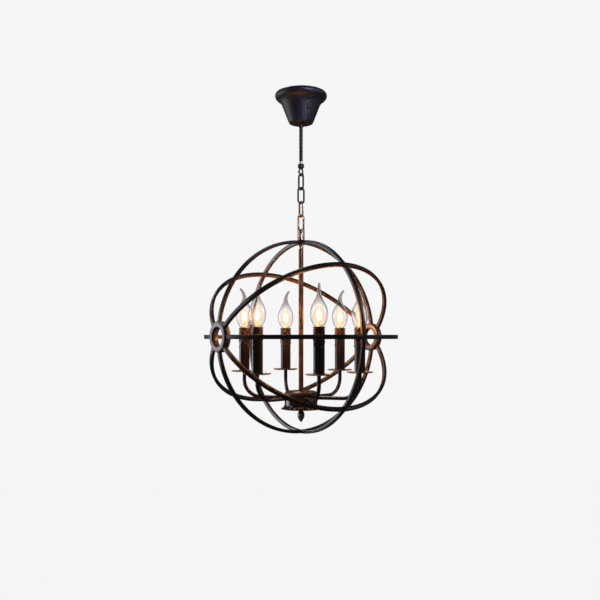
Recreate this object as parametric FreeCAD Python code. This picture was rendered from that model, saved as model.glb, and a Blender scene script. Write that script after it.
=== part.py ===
"""Orb chandelier: a sphere of five iron hoops that hangs by a chain from a ceiling canopy.

A stem runs down the middle of the sphere to a drum that carries six arms, and each arm ends
in a drip pan, a candle sleeve, a lampholder and a bent-tip bulb. Millimetres, +Z up. The
origin is the centre of the two screw slots in the ceiling bracket, in the plane of the
ceiling. The two hub rings of the sphere lie on the X axis.
"""
import FreeCAD, Part
import math
import os

V = FreeCAD.Vector
UP = V(0, 0, 1)

# ---- gaps between pieces ------------------------------------------------------------------
SEAT_GAP = 0.05         # radial, between pieces screwed or slipped together for good
TURN_GAP = 0.08         # radial, between a turning or sliding piece and what guides it
REST_GAP = 0.3          # between chain wires that hang in each other, and bulb and holder

# ---- ceiling bracket, its rod and the canopy -----------------------------------------------
BRACKET_LENGTH = 92.0
BRACKET_WIDTH = 18.0
BRACKET_THICK = 2.0
BRACKET_DROP = 16.0     # ceiling to the underside of the dropped middle
BRACKET_MIDDLE = 52.0   # length of the dropped middle, outside the legs
SLOT_SPACING = 70.0
SLOT_LENGTH = 12.0
SLOT_WIDTH = 4.6
NUT_FLATS = 12.0
NUT_HEIGHT = 5.0
ROD_PROUD = 1.0         # rod end above the upper nut
TERMINAL_SIZE = (13.0, 16.0, 10.0)
TERMINAL_WAYS = 3
TERMINAL_BORE = 1.7
ROD_R = 3.75
ROD_BORE_R = 2.3
ROD_BOTTOM = 141.5      # rod's lower end, below the ceiling

CANOPY_R = 53.0
CANOPY_WALL = 1.2
CANOPY_HEIGHT = 64.5
CANOPY_FOOT_R = 22.5    # where the bell turns under
CANOPY_NECK_R = 7.0
CANOPY_CREASE = (2.2, 5.6)      # under the rolled lip: in from the rim, down from the ceiling
CANOPY_SHOULDER = (3.2, 9.0, 7.4, 12.2)     # halfway round the shoulder, and at its end
CANOPY_COVE = (12.2, 17.4, 15.4, 25.0)      # halfway round the cove, and at its end
COLLAR_R = 5.2
COLLAR_HEIGHT = 6.0
GRUB_R = 1.25
GRUB_PROUD = 1.4

# ---- eye under the rod, chain and hang loop ------------------------------------------------
NIPPLE_SHOULDER_R = 3.5
NIPPLE_BORE_R = 1.4
NIPPLE_SHOW = 5.0       # bare length between rod and cap
NIPPLE_ROD_GRIP = 9.0   # length screwed into the rod
NIPPLE_CAP_GRIP = 5.0   # length screwed into the cap
CAP_R = 6.5
CAP_HEIGHT = 10.0
CAP_SOCKET = 8.0        # depth of the cap's socket, which leaves room for the wire under the nipple
CAP_WIRE_R = 1.3
CAP_WIRE_TURN = 90.0    # side of the cap where the wire leaves
EYE_WIRE_R = 1.6
EYE_HALF_WIDTH = 4.3    # to the wire's centre
EYE_DROP = 14.4         # cap's underside to the centre of the eye's lowest wire
EYE_TURN = 0.0          # plane of the eye, from the XZ plane
EYE_SCREW_R = 0.8
EYE_SCREW_HEAD_R = 1.5
EYE_SCREW_HEAD = 1.8
EYE_SCREW_ABOVE = 7.0   # screw above the eye's lowest wire

LINK_WIRE_R = 1.9
LINK_LENGTH = 36.6      # outside
LINK_WIDTH = 17.5       # outside
LINK_TURNS = (95.0, 173.0, 83.0)    # plane of each link, from the XZ plane

LOOP_WIRE_R = 2.1
LOOP_WIDTH = 16.4       # outside
LOOP_HEIGHT = 31.0      # top of the loop to the top of its collar
LOOP_TURN = 172.0
LOOP_COLLAR_R = 7.5
LOOP_COLLAR_HEIGHT = 23.0
LOOP_SHOULDER = 3.0
WIRE_HOLE_R = 2.2
WIRE_HOLE_DROP = 8.0    # below the collar's top
WIRE_HOLE_TURN = -125.0

# ---- sphere of hoops -----------------------------------------------------------------------
ORB_R = 200.0           # outside of every hoop
BAND_WIDTH = 8.4        # along the hoop's axis
BAND_THICK = 7.0        # along its radius
BAND_CHAMFER = 1.1
HUB_R = 30.0
HUB_BORE_R = 18.5
HUB_LENGTH = 14.0
HUB_CHAMFER = 0.8
TILTS = {"equator_band": 0.0, "tilted_band_a": -45.0, "tilted_band_b": 45.0}

# ---- stem, drum and finial -----------------------------------------------------------------
BOSS_R = 8.5
BOSS_HEIGHT = 10.0
BOSS_PROUD = 1.0        # boss above the hoops
TOP_NIPPLE_R = 3.4
TOP_NIPPLE_BORE_R = 2.0
TOP_NIPPLE_GRIP = 13.0  # length inside the collar and inside the stem
SPACER_R = 5.15
SPACER_HEIGHT = 9.0
STEM_R = 5.0
DRUM_R = 34.0
DRUM_WALL = 1.5
LID_FLAT_R = 27.0
LID_HEIGHT = 7.0
DRUM_HEIGHT = 19.0
DISH_R = 40.5
DISH_HEIGHT = 12.0
DISH_RIM = 2.0
TIE_ROD_R = 2.4
TIE_ROD_GRIP = 16.0     # length inside the stem
WINDOW_R = 1.6          # wire window of the tie rod, inside the drum
FINIAL_NECK_R = 4.4
FINIAL_R = 8.6
FINIAL_HEIGHT = 27.0
FINIAL_GRIP = 9.0
FINIAL_ROOM = 16.0      # between the finial's point and the cross band under it

# ---- arms and candles ----------------------------------------------------------------------
CANDLES = 6
CANDLE_TURN = 10.0      # first candle's angle from the X axis
CANDLE_RING_R = 123.6
ARM_R = 3.9
ARM_BEND_R = 36.0
ARM_DROP = 14.0         # arm's axis below the top of the lid
ARM_INSIDE = 4.0        # end of the arm inside the drum's wall
PAN_RAISE = 52.0        # underside of the pan above the arm's axis
PAN_R = 27.5
PAN_THICK = 1.2
PAN_RISE = 3.0
SLEEVE_R = 11.0
SLEEVE_WALL = 1.0
SLEEVE_LENGTH = 80.8
HOLDER_COLLAR_R = 11.8
HOLDER_COLLAR_HEIGHT = 12.0
HOLDER_GROOVE = 1.0
HOLDER_BODY_LENGTH = 24.0
HOLDER_TAIL_R = 2.5
HOLDER_TAIL_GRIP = 8.0
CAP_SCREW_R = 6.8       # bulb's screw cap
CAP_SCREW_LENGTH = 19.0
CONTACT_R = 2.4
CONTACT_LENGTH = 2.0
BULB_R = 17.4
BULB_SEAT_R = 9.5
BULB_NECK_R = 3.9
BULB_NECK = 62.0        # heights above the holder's top
BULB_WIDEST = 24.0
BULB_SHOULDER_R = 41.0  # arc of the glass above its widest
TIP_RISE = 21.0
TIP_REACH = 9.0
TIP_END_R = 1.1
TIP_TURNS = (-35.0, -60.0, 145.0, 35.0, -125.0, 160.0)   # where each tip bends to

# ---- heights that follow from the sizes above ----------------------------------------------
nut_top = -(BRACKET_DROP - BRACKET_THICK) + NUT_HEIGHT
rod_top = nut_top + ROD_PROUD
cap_top = -ROD_BOTTOM - NIPPLE_SHOW
cap_bottom = cap_top - CAP_HEIGHT
eye_low = cap_bottom - EYE_DROP

link_half_width = LINK_WIDTH / 2 - LINK_WIRE_R
link_reach = LINK_LENGTH - 2 * LINK_WIRE_R
link_tops = []
held_z = eye_low
held_r = EYE_WIRE_R
for turn in LINK_TURNS:
    link_tops.append(held_z + held_r + REST_GAP + LINK_WIRE_R)
    held_z = link_tops[-1] - link_reach
    held_r = LINK_WIRE_R
loop_top = held_z + held_r + REST_GAP + LOOP_WIRE_R
loop_collar_top = loop_top + LOOP_WIRE_R - LOOP_HEIGHT
loop_collar_bottom = loop_collar_top - LOOP_COLLAR_HEIGHT

boss_top = loop_collar_bottom
boss_bottom = boss_top - BOSS_HEIGHT
orb_z = boss_top - BOSS_PROUD - ORB_R
spacer_bottom = boss_bottom - SPACER_HEIGHT
dish_bottom = orb_z - ORB_R + BAND_THICK + FINIAL_ROOM + FINIAL_HEIGHT
drum_bottom = dish_bottom + DISH_HEIGHT
drum_top = drum_bottom + DRUM_HEIGHT
lid_top = drum_top + LID_HEIGHT
arm_z = lid_top - ARM_DROP
pan_bottom = arm_z + PAN_RAISE
pan_top = pan_bottom + PAN_THICK
sleeve_top = pan_top + SLEEVE_LENGTH
holder_top = sleeve_top + HOLDER_COLLAR_HEIGHT
stem_bore_r = TOP_NIPPLE_R + SEAT_GAP


# ---- small makers --------------------------------------------------------------------------
def save(name, shape):
    """Write one sub-part to its STEP file."""
    shape.exportStep("parts/" + name + ".step")


def cylinder(radius, low, high):
    """Upright cylinder on the Z axis between two heights."""
    return Part.makeCylinder(radius, high - low, V(0, 0, low))


def turned(start, *steps, base=0.0):
    """Revolve an (r, z) outline about the Z axis. A step of two numbers is a line to that point,
    and one of four is an arc through the first point to the second."""
    def at(r, z):
        return V(r, 0, base + z)

    here = at(*start)
    edges = []
    for step in steps:
        if len(step) == 4:
            end = at(*step[2:])
            edges.append(Part.Arc(here, at(*step[:2]), end).toShape())
            here = end
        else:
            end = at(*step)
            edges.append(Part.makeLine(here, end))
            here = end
    if (here - at(*start)).Length > 1e-6:
        edges.append(Part.makeLine(here, at(*start)))
    return Part.Face(Part.Wire(edges)).revolve(V(0, 0, 0), UP, 360)


def half_ring(ring_r, wire_r, z, upper):
    """Half of a wire ring in the XZ plane, above or below the height z."""
    circle = Part.Wire(Part.makeCircle(wire_r, V(ring_r, 0, z), UP))
    sweep = -180 if upper else 180
    return Part.Face(circle).revolve(V(0, 0, z), V(0, 1, 0), sweep)


def long_ring(wire_r, half_width, top, bottom):
    """Chain link of round wire in the XZ plane. top and bottom are heights of the wire's centre."""
    arch_top = top - half_width
    arch_bottom = bottom + half_width
    pieces = [half_ring(half_width, wire_r, arch_bottom, False)]
    for side in (-1, 1):
        foot = V(side * half_width, 0, arch_bottom)
        pieces.append(Part.makeCylinder(wire_r, arch_top - arch_bottom, foot))
    return half_ring(half_width, wire_r, arch_top, True).multiFuse(pieces).removeSplitter()


def turned_about_z(shape, degrees, centre=V(0, 0, 0)):
    """Copy of a shape, turned about an upright axis."""
    copy = shape.copy()
    copy.rotate(centre, UP, degrees)
    return copy


# ---- ceiling fitting -----------------------------------------------------------------------
def ceiling_bracket():
    """Flat strap bent into a hat: ears on the ceiling, middle dropped to carry the rod."""
    end = BRACKET_LENGTH / 2
    leg = BRACKET_MIDDLE / 2
    inner = leg - BRACKET_THICK
    half = [(0, BRACKET_THICK - BRACKET_DROP), (inner, BRACKET_THICK - BRACKET_DROP), (inner, 0), (end, 0),
            (end, -BRACKET_THICK), (leg, -BRACKET_THICK), (leg, -BRACKET_DROP), (0, -BRACKET_DROP)]
    outline = half + [(-x, z) for x, z in reversed(half[1:-1])]
    corners = [V(x, -BRACKET_WIDTH / 2, z) for x, z in outline]
    strap = Part.Face(Part.makePolygon(corners + corners[:1])).extrude(V(0, BRACKET_WIDTH, 0))
    strap = strap.cut(cylinder(ROD_R + SEAT_GAP, -BRACKET_DROP - 1, 1))
    slot_r = SLOT_WIDTH / 2
    for side in (-1, 1):
        middle = side * SLOT_SPACING / 2
        reach = SLOT_LENGTH / 2 - slot_r
        box = Part.makeBox(2 * reach, SLOT_WIDTH, 3 * BRACKET_THICK,
                           V(middle - reach, -slot_r, -2 * BRACKET_THICK))
        ends = [Part.makeCylinder(slot_r, 3 * BRACKET_THICK, V(middle + x, 0, -2 * BRACKET_THICK))
                for x in (-reach, reach)]
        strap = strap.cut(box.multiFuse(ends).removeSplitter())
    return strap


def bracket_nuts():
    """Two hexagon nuts that clamp the rod to the bracket's middle."""
    corner_r = NUT_FLATS / math.sqrt(3)
    nuts = []
    for low in (-(BRACKET_DROP - BRACKET_THICK), -BRACKET_DROP - NUT_HEIGHT):
        corners = []
        for i in range(6):
            angle = math.radians(60 * i)
            corners.append(V(corner_r * math.cos(angle), corner_r * math.sin(angle), low))
        body = Part.Face(Part.makePolygon(corners + corners[:1])).extrude(V(0, 0, NUT_HEIGHT))
        nuts.append(body.cut(cylinder(ROD_R + SEAT_GAP, low - 1, low + NUT_HEIGHT + 1)))
    return Part.makeCompound(nuts)


def terminal_block():
    """Block with a row of wire ways, standing on the bracket's middle beside the nut."""
    length, width, height = TERMINAL_SIZE
    room = BRACKET_MIDDLE / 2 - BRACKET_THICK
    x = room - length - 1
    z = BRACKET_THICK - BRACKET_DROP
    block = Part.makeBox(length, width, height, V(x, -width / 2, z))
    pitch = width / TERMINAL_WAYS
    for i in range(TERMINAL_WAYS):
        y = (i - (TERMINAL_WAYS - 1) / 2) * pitch
        way = Part.makeCylinder(TERMINAL_BORE, length + 2, V(x - 1, y, z + height / 2), V(1, 0, 0))
        screw = Part.makeCylinder(TERMINAL_BORE, height, V(x + length / 2, y, z + height / 2))
        block = block.cut(way.fuse(screw))
    return block


def canopy_cup():
    """Spun bell: a rolled lip at the ceiling, a shoulder and a cove under it, and a tapering body
    that turns under to a shallow foot."""
    rim = CANOPY_R
    foot = CANOPY_FOOT_R
    low = -CANOPY_HEIGHT
    wall = CANOPY_WALL
    hole = ROD_R + REST_GAP
    heel = (foot + 2.4, low + 4.5)

    def from_rim(inset, drop):
        return rim - inset, -drop

    def inward(point):
        return point[0] - wall, point[1]

    crease = from_rim(*CANOPY_CREASE)
    shoulder = from_rim(*CANOPY_SHOULDER[:2]) + from_rim(*CANOPY_SHOULDER[2:])
    cove = from_rim(*CANOPY_COVE[:2]) + from_rim(*CANOPY_COVE[2:])

    return turned(
        (rim, 0), (rim + 0.9, -2.2, rim - 0.6, -4.6), crease, shoulder, cove, heel,
        (foot + 0.6, low + 2.2, foot - 3.0, low + 1.4), (CANOPY_NECK_R, low), (hole, low), (hole, low + wall),
        (CANOPY_NECK_R, low + wall), (foot - 3.5, low + 2.8), inward(heel), inward(cove[2:]),
        inward(cove[:2]), inward(shoulder[2:]), inward(shoulder[:2]), inward(crease),
        (rim - wall, -2.6), (rim - wall, 0))


def canopy_collar():
    """Collar under the canopy, which its grub screw grips to the rod."""
    ring = turned((ROD_R + TURN_GAP, 0), (COLLAR_R, 0), (COLLAR_R, 1.0 - COLLAR_HEIGHT),
                  (COLLAR_R - 1.0, -COLLAR_HEIGHT), (ROD_R + TURN_GAP, -COLLAR_HEIGHT), base=-CANOPY_HEIGHT)
    z = -CANOPY_HEIGHT - COLLAR_HEIGHT / 2
    return ring.cut(Part.makeCylinder(GRUB_R + SEAT_GAP, 2 * COLLAR_R, V(0, 0, z), V(0, 1, 0)))


def collar_screw():
    """Grub screw of the canopy collar, on the far side."""
    start = ROD_R + TURN_GAP
    z = -CANOPY_HEIGHT - COLLAR_HEIGHT / 2
    return Part.makeCylinder(GRUB_R, COLLAR_R + GRUB_PROUD - start, V(0, start, z), V(0, 1, 0))


def drop_rod():
    """Straight tube from the bracket down through the canopy."""
    return cylinder(ROD_R, -ROD_BOTTOM, rod_top).cut(cylinder(ROD_BORE_R, -ROD_BOTTOM, rod_top))


def rod_nipple():
    """Bare hollow stud between the rod and the cap of the eye."""
    spigot = ROD_BORE_R - SEAT_GAP
    foot = -NIPPLE_SHOW - NIPPLE_CAP_GRIP
    return turned((NIPPLE_BORE_R, NIPPLE_ROD_GRIP), (spigot, NIPPLE_ROD_GRIP), (spigot, 0),
                  (NIPPLE_SHOULDER_R, 0), (NIPPLE_SHOULDER_R, -NIPPLE_SHOW), (spigot, -NIPPLE_SHOW),
                  (spigot, foot), (NIPPLE_BORE_R, foot), base=-ROD_BOTTOM)


def eye_loop():
    """Domed cap with the wire eye that the chain hangs from, and a side way for the mains wire."""
    cap = turned((0, 0), (CAP_R - 2.5, 0), (CAP_R - 0.6, -0.9, CAP_R, -3.0), (CAP_R, 2.4 - CAP_HEIGHT),
                 (EYE_HALF_WIDTH, -CAP_HEIGHT), (0, -CAP_HEIGHT), base=cap_top)
    eye = long_ring(EYE_WIRE_R, EYE_HALF_WIDTH, cap_bottom, eye_low)
    socket = cylinder(ROD_BORE_R, cap_top - CAP_SOCKET, cap_top + 1)
    thread_start = V(EYE_WIRE_R - EYE_HALF_WIDTH + 0.2, 0, eye_low + EYE_SCREW_ABOVE)
    thread = Part.makeCylinder(EYE_SCREW_R + SEAT_GAP, 3 * EYE_WIRE_R, thread_start, V(-1, 0, 0))
    wire_z = cap_top + CAP_WIRE_R + 0.2 - CAP_SOCKET
    wire_way = Part.makeCylinder(CAP_WIRE_R, 2 * CAP_R, V(0, 0, wire_z), V(1, 0, 0))
    body = cap.fuse(eye).cut(socket).cut(thread).cut(turned_about_z(wire_way, CAP_WIRE_TURN))
    return turned_about_z(body, EYE_TURN)


def eye_screw():
    """Small screw through one side of the eye."""
    outside = EYE_HALF_WIDTH + EYE_WIRE_R + SEAT_GAP
    z = eye_low + EYE_SCREW_ABOVE
    head = Part.makeCylinder(EYE_SCREW_HEAD_R, EYE_SCREW_HEAD, V(-outside, 0, z), V(-1, 0, 0))
    shank = Part.makeCylinder(EYE_SCREW_R, 2 * EYE_WIRE_R, V(-outside, 0, z), V(1, 0, 0))
    return turned_about_z(head.fuse(shank), EYE_TURN)


# ---- chain ---------------------------------------------------------------------------------
def chain_link(top, turn):
    """One link of round wire, with the centre of its upper wire at the height top."""
    return turned_about_z(long_ring(LINK_WIRE_R, link_half_width, top, top - link_reach), turn)


def hang_loop():
    """Cast loop on a collar that screws onto the sphere's top nipple, with its wire hole."""
    half_width = LOOP_WIDTH / 2 - LOOP_WIRE_R
    arch = loop_top - half_width
    foot = loop_collar_top - LOOP_SHOULDER
    pieces = [half_ring(half_width, LOOP_WIRE_R, arch, True)]
    for side in (-1, 1):
        pieces.append(Part.makeCylinder(LOOP_WIRE_R, arch - foot, V(side * half_width, 0, foot)))
    shoulder_r = LOOP_COLLAR_R - 1.6
    collar = turned((0, 0), (shoulder_r, 0), (LOOP_COLLAR_R - 0.4, -0.9, LOOP_COLLAR_R, -LOOP_SHOULDER),
                    (LOOP_COLLAR_R, -LOOP_COLLAR_HEIGHT), (0, -LOOP_COLLAR_HEIGHT), base=loop_collar_top)
    body = collar.multiFuse(pieces)
    bore_top = loop_collar_bottom + TOP_NIPPLE_GRIP + REST_GAP
    wire_z = loop_collar_top - WIRE_HOLE_DROP
    wire_way = Part.makeCylinder(WIRE_HOLE_R, 2 * LOOP_COLLAR_R, V(0, 0, wire_z), V(1, 0, 0))
    body = body.cut(cylinder(stem_bore_r, loop_collar_bottom - 1, bore_top))
    body = body.cut(cylinder(TOP_NIPPLE_BORE_R, bore_top - 1, wire_z))
    body = turned_about_z(body, LOOP_TURN)
    return body.cut(turned_about_z(wire_way, WIRE_HOLE_TURN))


# ---- sphere of hoops -----------------------------------------------------------------------
def hoop():
    """One full hoop about the Z axis at the sphere's centre, of square bar with broken edges."""
    inner = ORB_R - BAND_THICK
    half = BAND_WIDTH / 2
    cut = BAND_CHAMFER
    return turned((inner + cut, -half), (ORB_R - cut, -half), (ORB_R, cut - half), (ORB_R, half - cut),
                  (ORB_R - cut, half), (inner + cut, half), (inner, half - cut), (inner, cut - half))


def hub_core():
    """The round space at both ends of the X axis that the hub rings take."""
    return Part.makeCylinder(HUB_R, 2.2 * ORB_R, V(-1.1 * ORB_R, 0, 0), V(1, 0, 0))


def placed_in_orb(shape):
    """Move a shape made about the sphere's centre to its place under the chain."""
    shape.translate(V(0, 0, orb_z))
    return shape


def boss_core():
    """The round space at the top of the sphere that the top boss takes."""
    return cylinder(BOSS_R, ORB_R / 2, 1.1 * ORB_R)


def hub_hoop(tilt):
    """A hoop through both hub rings, in four quarters that butt against the cross band."""
    band = hoop()
    band.rotate(V(0, 0, 0), V(1, 0, 0), tilt)
    slab = Part.makeBox(BAND_WIDTH, 3 * ORB_R, 3 * ORB_R, V(-BAND_WIDTH / 2, -1.5 * ORB_R, -1.5 * ORB_R))
    return placed_in_orb(band.cut(slab).cut(hub_core()).cut(boss_core()))


def cross_band():
    """The hoop square to the hub rings' axis, whole but for the boss at its top."""
    band = hoop()
    band.rotate(V(0, 0, 0), V(0, 1, 0), 90)
    return placed_in_orb(band.cut(boss_core()))


def hub_ring(side):
    """Short thick tube that takes four band ends on its outer wall."""
    wall = turned((HUB_BORE_R, 0), (HUB_R, 0), (HUB_R, HUB_LENGTH - HUB_CHAMFER),
                  (HUB_R - HUB_CHAMFER, HUB_LENGTH), (HUB_BORE_R + HUB_CHAMFER, HUB_LENGTH),
                  (HUB_BORE_R, HUB_LENGTH - HUB_CHAMFER), base=ORB_R - HUB_LENGTH)
    wall.rotate(V(0, 0, 0), V(0, 1, 0), 90 * side)
    return placed_in_orb(wall)


# ---- stem, drum and finial -----------------------------------------------------------------
def tube(outer_r, bore_r, low, high):
    """Upright tube between two heights."""
    return cylinder(outer_r, low, high).cut(cylinder(bore_r, low, high))


def top_boss():
    """Turned boss that gathers the band ends at the top of the sphere."""
    return turned((stem_bore_r, 0), (BOSS_R - 1.0, 0), (BOSS_R, -1.0), (BOSS_R, 1.0 - BOSS_HEIGHT),
                  (BOSS_R - 1.0, -BOSS_HEIGHT), (stem_bore_r, -BOSS_HEIGHT), base=boss_top)


def stem_spacer():
    """Barrel-shaped spacer between the boss and the stem."""
    waist = SPACER_R - 0.8
    return turned((stem_bore_r, 0), (waist, 0), (SPACER_R, -SPACER_HEIGHT / 2, waist, -SPACER_HEIGHT),
                  (stem_bore_r, -SPACER_HEIGHT), base=boss_bottom)


def drum_lid():
    """Pressed lid of the drum, flat with a round shoulder. The stem stands on it."""
    hole = stem_bore_r
    wall = DRUM_WALL

    def round_shoulder(inset):
        """Point halfway round the shoulder, and where it meets the drum's wall."""
        out = DRUM_R - LID_FLAT_R - inset
        down = LID_HEIGHT - inset
        bulge = math.sqrt(0.5)
        return LID_FLAT_R + bulge * out, (bulge - 1) * down - inset, LID_FLAT_R + out, -LID_HEIGHT

    inner = round_shoulder(wall)
    return turned((hole, 0), (LID_FLAT_R, 0), round_shoulder(0), inner[2:], inner[:2] + (LID_FLAT_R, -wall),
                  (hole, -wall), base=lid_top)


def arm_at(angle):
    """Unit vector across the drum at an angle in degrees."""
    return V(math.cos(math.radians(angle)), math.sin(math.radians(angle)), 0)


def candle_angles():
    """Angle of each candle, in degrees from the X axis."""
    return [CANDLE_TURN + 360.0 * i / CANDLES for i in range(CANDLES)]


def arm_drum():
    """Cup of the drum, with a round hole for each arm."""
    hole = TIE_ROD_R + SEAT_GAP
    inner = DRUM_R - DRUM_WALL
    floor = DRUM_WALL - DRUM_HEIGHT
    cup = turned((DRUM_R, 0), (DRUM_R, -DRUM_HEIGHT), (hole, -DRUM_HEIGHT), (hole, floor), (inner, floor),
                 (inner, 0), base=drum_top)
    for angle in candle_angles():
        start = arm_at(angle) * (DRUM_R - ARM_INSIDE) + V(0, 0, arm_z)
        cup = cup.cut(Part.makeCylinder(ARM_R + SEAT_GAP, 2 * ARM_INSIDE, start, arm_at(angle)))
    return cup


def drum_dish():
    """Flared tray under the drum, its rolled rim lowest."""
    wall = DRUM_WALL
    hole = TIE_ROD_R + SEAT_GAP
    low = DISH_RIM - DISH_HEIGHT
    return turned(
        (DRUM_R, 0), (DRUM_R + 1.6, 0.62 * low, DISH_R, low),
        (DISH_R + 0.8, low - DISH_RIM / 2, DISH_R, -DISH_HEIGHT), (hole, -DISH_HEIGHT),
        (hole, wall - DISH_HEIGHT), (DRUM_R, wall - DISH_HEIGHT), (DRUM_R - wall, 0), base=drum_bottom)


def tie_rod():
    """Stepped rod from the stem through drum and dish into the finial. Its upper part is hollow and
    has a cross hole in the drum, where the wires leave it."""
    step = -LID_HEIGHT - DRUM_HEIGHT / 2
    low = dish_bottom - FINIAL_GRIP - lid_top
    floor = step + 2.0
    rod = turned((TOP_NIPPLE_BORE_R, TIE_ROD_GRIP), (TOP_NIPPLE_R, TIE_ROD_GRIP), (TOP_NIPPLE_R, step),
                 (TIE_ROD_R, step), (TIE_ROD_R, low), (0, low), (0, floor), (TOP_NIPPLE_BORE_R, floor),
                 base=lid_top)
    window = V(-2 * TOP_NIPPLE_R, 0, lid_top + floor + WINDOW_R)
    return rod.cut(Part.makeCylinder(WINDOW_R, 4 * TOP_NIPPLE_R, window, V(1, 0, 0)))


def finial():
    """Turned bud that screws onto the tie rod and holds the dish up."""
    neck = FINIAL_NECK_R
    wide = FINIAL_R
    point = -FINIAL_HEIGHT
    bud = turned((0, 0), (neck, 0), (neck, -1.6), (neck - 0.9, -2.8), (neck, -4.0),
                 (wide - 1.0, -8.6, wide, -13.0), (wide - 1.5, -19.0, 2.2, point + 2.2),
                 (0.8, point), (0, point), base=dish_bottom)
    return bud.cut(cylinder(TIE_ROD_R + SEAT_GAP, dish_bottom - FINIAL_GRIP - REST_GAP, dish_bottom + 1))


# ---- arms and candles, made at their own axis and then put on the ring ------------------------
def arm():
    """Bent round bar: level out of the drum, round a quarter bend and up to the pan."""
    start = V(DRUM_R - ARM_INSIDE, 0, arm_z)
    bend_from = V(CANDLE_RING_R - ARM_BEND_R, 0, arm_z)
    bend_to = V(CANDLE_RING_R, 0, arm_z + ARM_BEND_R)
    run = Part.makeCylinder(ARM_R, (bend_from - start).Length, start, V(1, 0, 0))
    ring = Part.Face(Part.Wire(Part.makeCircle(ARM_R, bend_from, V(1, 0, 0))))
    bend = ring.revolve(V(bend_from.x, 0, bend_to.z), V(0, 1, 0), -90)
    rise = Part.makeCylinder(ARM_R, pan_bottom - bend_to.z, bend_to)
    tap = Part.makeCylinder(HOLDER_TAIL_R + SEAT_GAP, HOLDER_TAIL_GRIP + REST_GAP,
                            V(CANDLE_RING_R, 0, pan_bottom - HOLDER_TAIL_GRIP - REST_GAP))
    return run.multiFuse([bend, rise]).removeSplitter().cut(tap)


def drip_pan():
    """Shallow spun pan with a flared rim, clamped between arm and holder."""
    hole = HOLDER_TAIL_R + SEAT_GAP
    flat = PAN_R - PAN_RISE
    return turned((hole, 0), (flat, 0), (PAN_R, PAN_RISE), (PAN_R - PAN_THICK, PAN_RISE), (flat, PAN_THICK),
                  (hole, PAN_THICK), base=pan_bottom)


def candle_sleeve():
    """Plain tube that dresses the holder as a candle."""
    return tube(SLEEVE_R, SLEEVE_R - SLEEVE_WALL, pan_top, sleeve_top)


def lampholder():
    """Holder with a grooved collar on top, a body inside the sleeve and a tail into the arm."""
    body_r = SLEEVE_R - SLEEVE_WALL - REST_GAP
    bore_r = CAP_SCREW_R + TURN_GAP
    bottom = -HOLDER_BODY_LENGTH
    tail_end = pan_bottom - HOLDER_TAIL_GRIP - holder_top
    outer = HOLDER_COLLAR_R
    steps = []
    groove_pitch = HOLDER_COLLAR_HEIGHT / 3
    for i in range(2):
        middle = -groove_pitch * (i + 1)
        steps += [(outer, middle + HOLDER_GROOVE), (outer - HOLDER_GROOVE, middle),
                  (outer, middle - HOLDER_GROOVE)]
    return turned(
        (bore_r, 0), (outer - 0.8, 0), (outer, -0.8), *steps, (outer, -HOLDER_COLLAR_HEIGHT),
        (body_r, -HOLDER_COLLAR_HEIGHT), (body_r, bottom), (HOLDER_TAIL_R, bottom), (HOLDER_TAIL_R, tail_end),
        (0, tail_end), (0, 1.0 + bottom), (bore_r, 1.0 + bottom), base=holder_top)


def flame_arcs(seat):
    """Three arcs of the glass that meet smoothly: out to the widest, over the shoulder, in to the neck."""
    def on(centre, radius, angle):
        return centre[0] + radius * math.cos(angle), centre[1] + radius * math.sin(angle)

    fall = seat - BULB_WIDEST
    low_x = (BULB_R ** 2 - BULB_SEAT_R ** 2 - fall ** 2) / (2 * (BULB_R - BULB_SEAT_R))
    low_angle = math.atan2(fall, BULB_SEAT_R - low_x)
    belly = on((low_x, BULB_WIDEST), BULB_R - low_x, low_angle / 2)

    shoulder = (BULB_R - BULB_SHOULDER_R, BULB_WIDEST)
    across = BULB_NECK_R - shoulder[0]
    rise = BULB_NECK - BULB_WIDEST
    neck_r = (across ** 2 + rise ** 2 - BULB_SHOULDER_R ** 2) / (2 * (BULB_SHOULDER_R - across))
    neck = (BULB_NECK_R + neck_r, BULB_NECK)
    meet = math.atan2(rise, neck[0] - shoulder[0])
    return [belly + (BULB_R, BULB_WIDEST),
            on(shoulder, BULB_SHOULDER_R, meet / 2) + on(shoulder, BULB_SHOULDER_R, meet),
            on(neck, neck_r, math.pi + meet / 2) + (BULB_NECK_R, BULB_NECK)]


def bulb(tip_turn):
    """Clear candle bulb: screw cap, flame-shaped glass and a tip that bends over to one side."""
    seat = REST_GAP
    low = -CAP_SCREW_LENGTH
    glass = turned((0, low), (CONTACT_R, low), (CONTACT_R, low + CONTACT_LENGTH),
                   (CAP_SCREW_R, low + CONTACT_LENGTH + 1.0), (CAP_SCREW_R, seat), (BULB_SEAT_R, seat),
                   *flame_arcs(seat), (0, BULB_NECK))
    sweep = 2 * math.atan2(TIP_REACH, TIP_RISE)
    bend_r = TIP_RISE / math.sin(sweep)
    rings = []
    steps = 4
    for i in range(steps + 1):
        share = i / steps
        turn = sweep * share
        centre = V(bend_r * (1 - math.cos(turn)), 0, BULB_NECK + bend_r * math.sin(turn))
        radius = BULB_NECK_R + (TIP_END_R - BULB_NECK_R) * share ** 0.8
        rings.append(Part.Wire(Part.makeCircle(radius, centre, V(math.sin(turn), 0, math.cos(turn)))))
    tip = Part.makeLoft(rings, True, False)
    whole = turned_about_z(glass.fuse(tip), tip_turn)
    whole.translate(V(CANDLE_RING_R, 0, holder_top))
    return whole


def on_candle_ring(shape, angle, at_axis=True):
    """Copy of a candle piece, made on the Z axis or already out on the ring, turned to its angle."""
    copy = shape.copy()
    if at_axis:
        copy.translate(V(CANDLE_RING_R, 0, 0))
    copy.rotate(V(0, 0, 0), UP, angle)
    return copy


# ---- write every sub-part ------------------------------------------------------------------
os.makedirs("parts", exist_ok=True)

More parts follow.
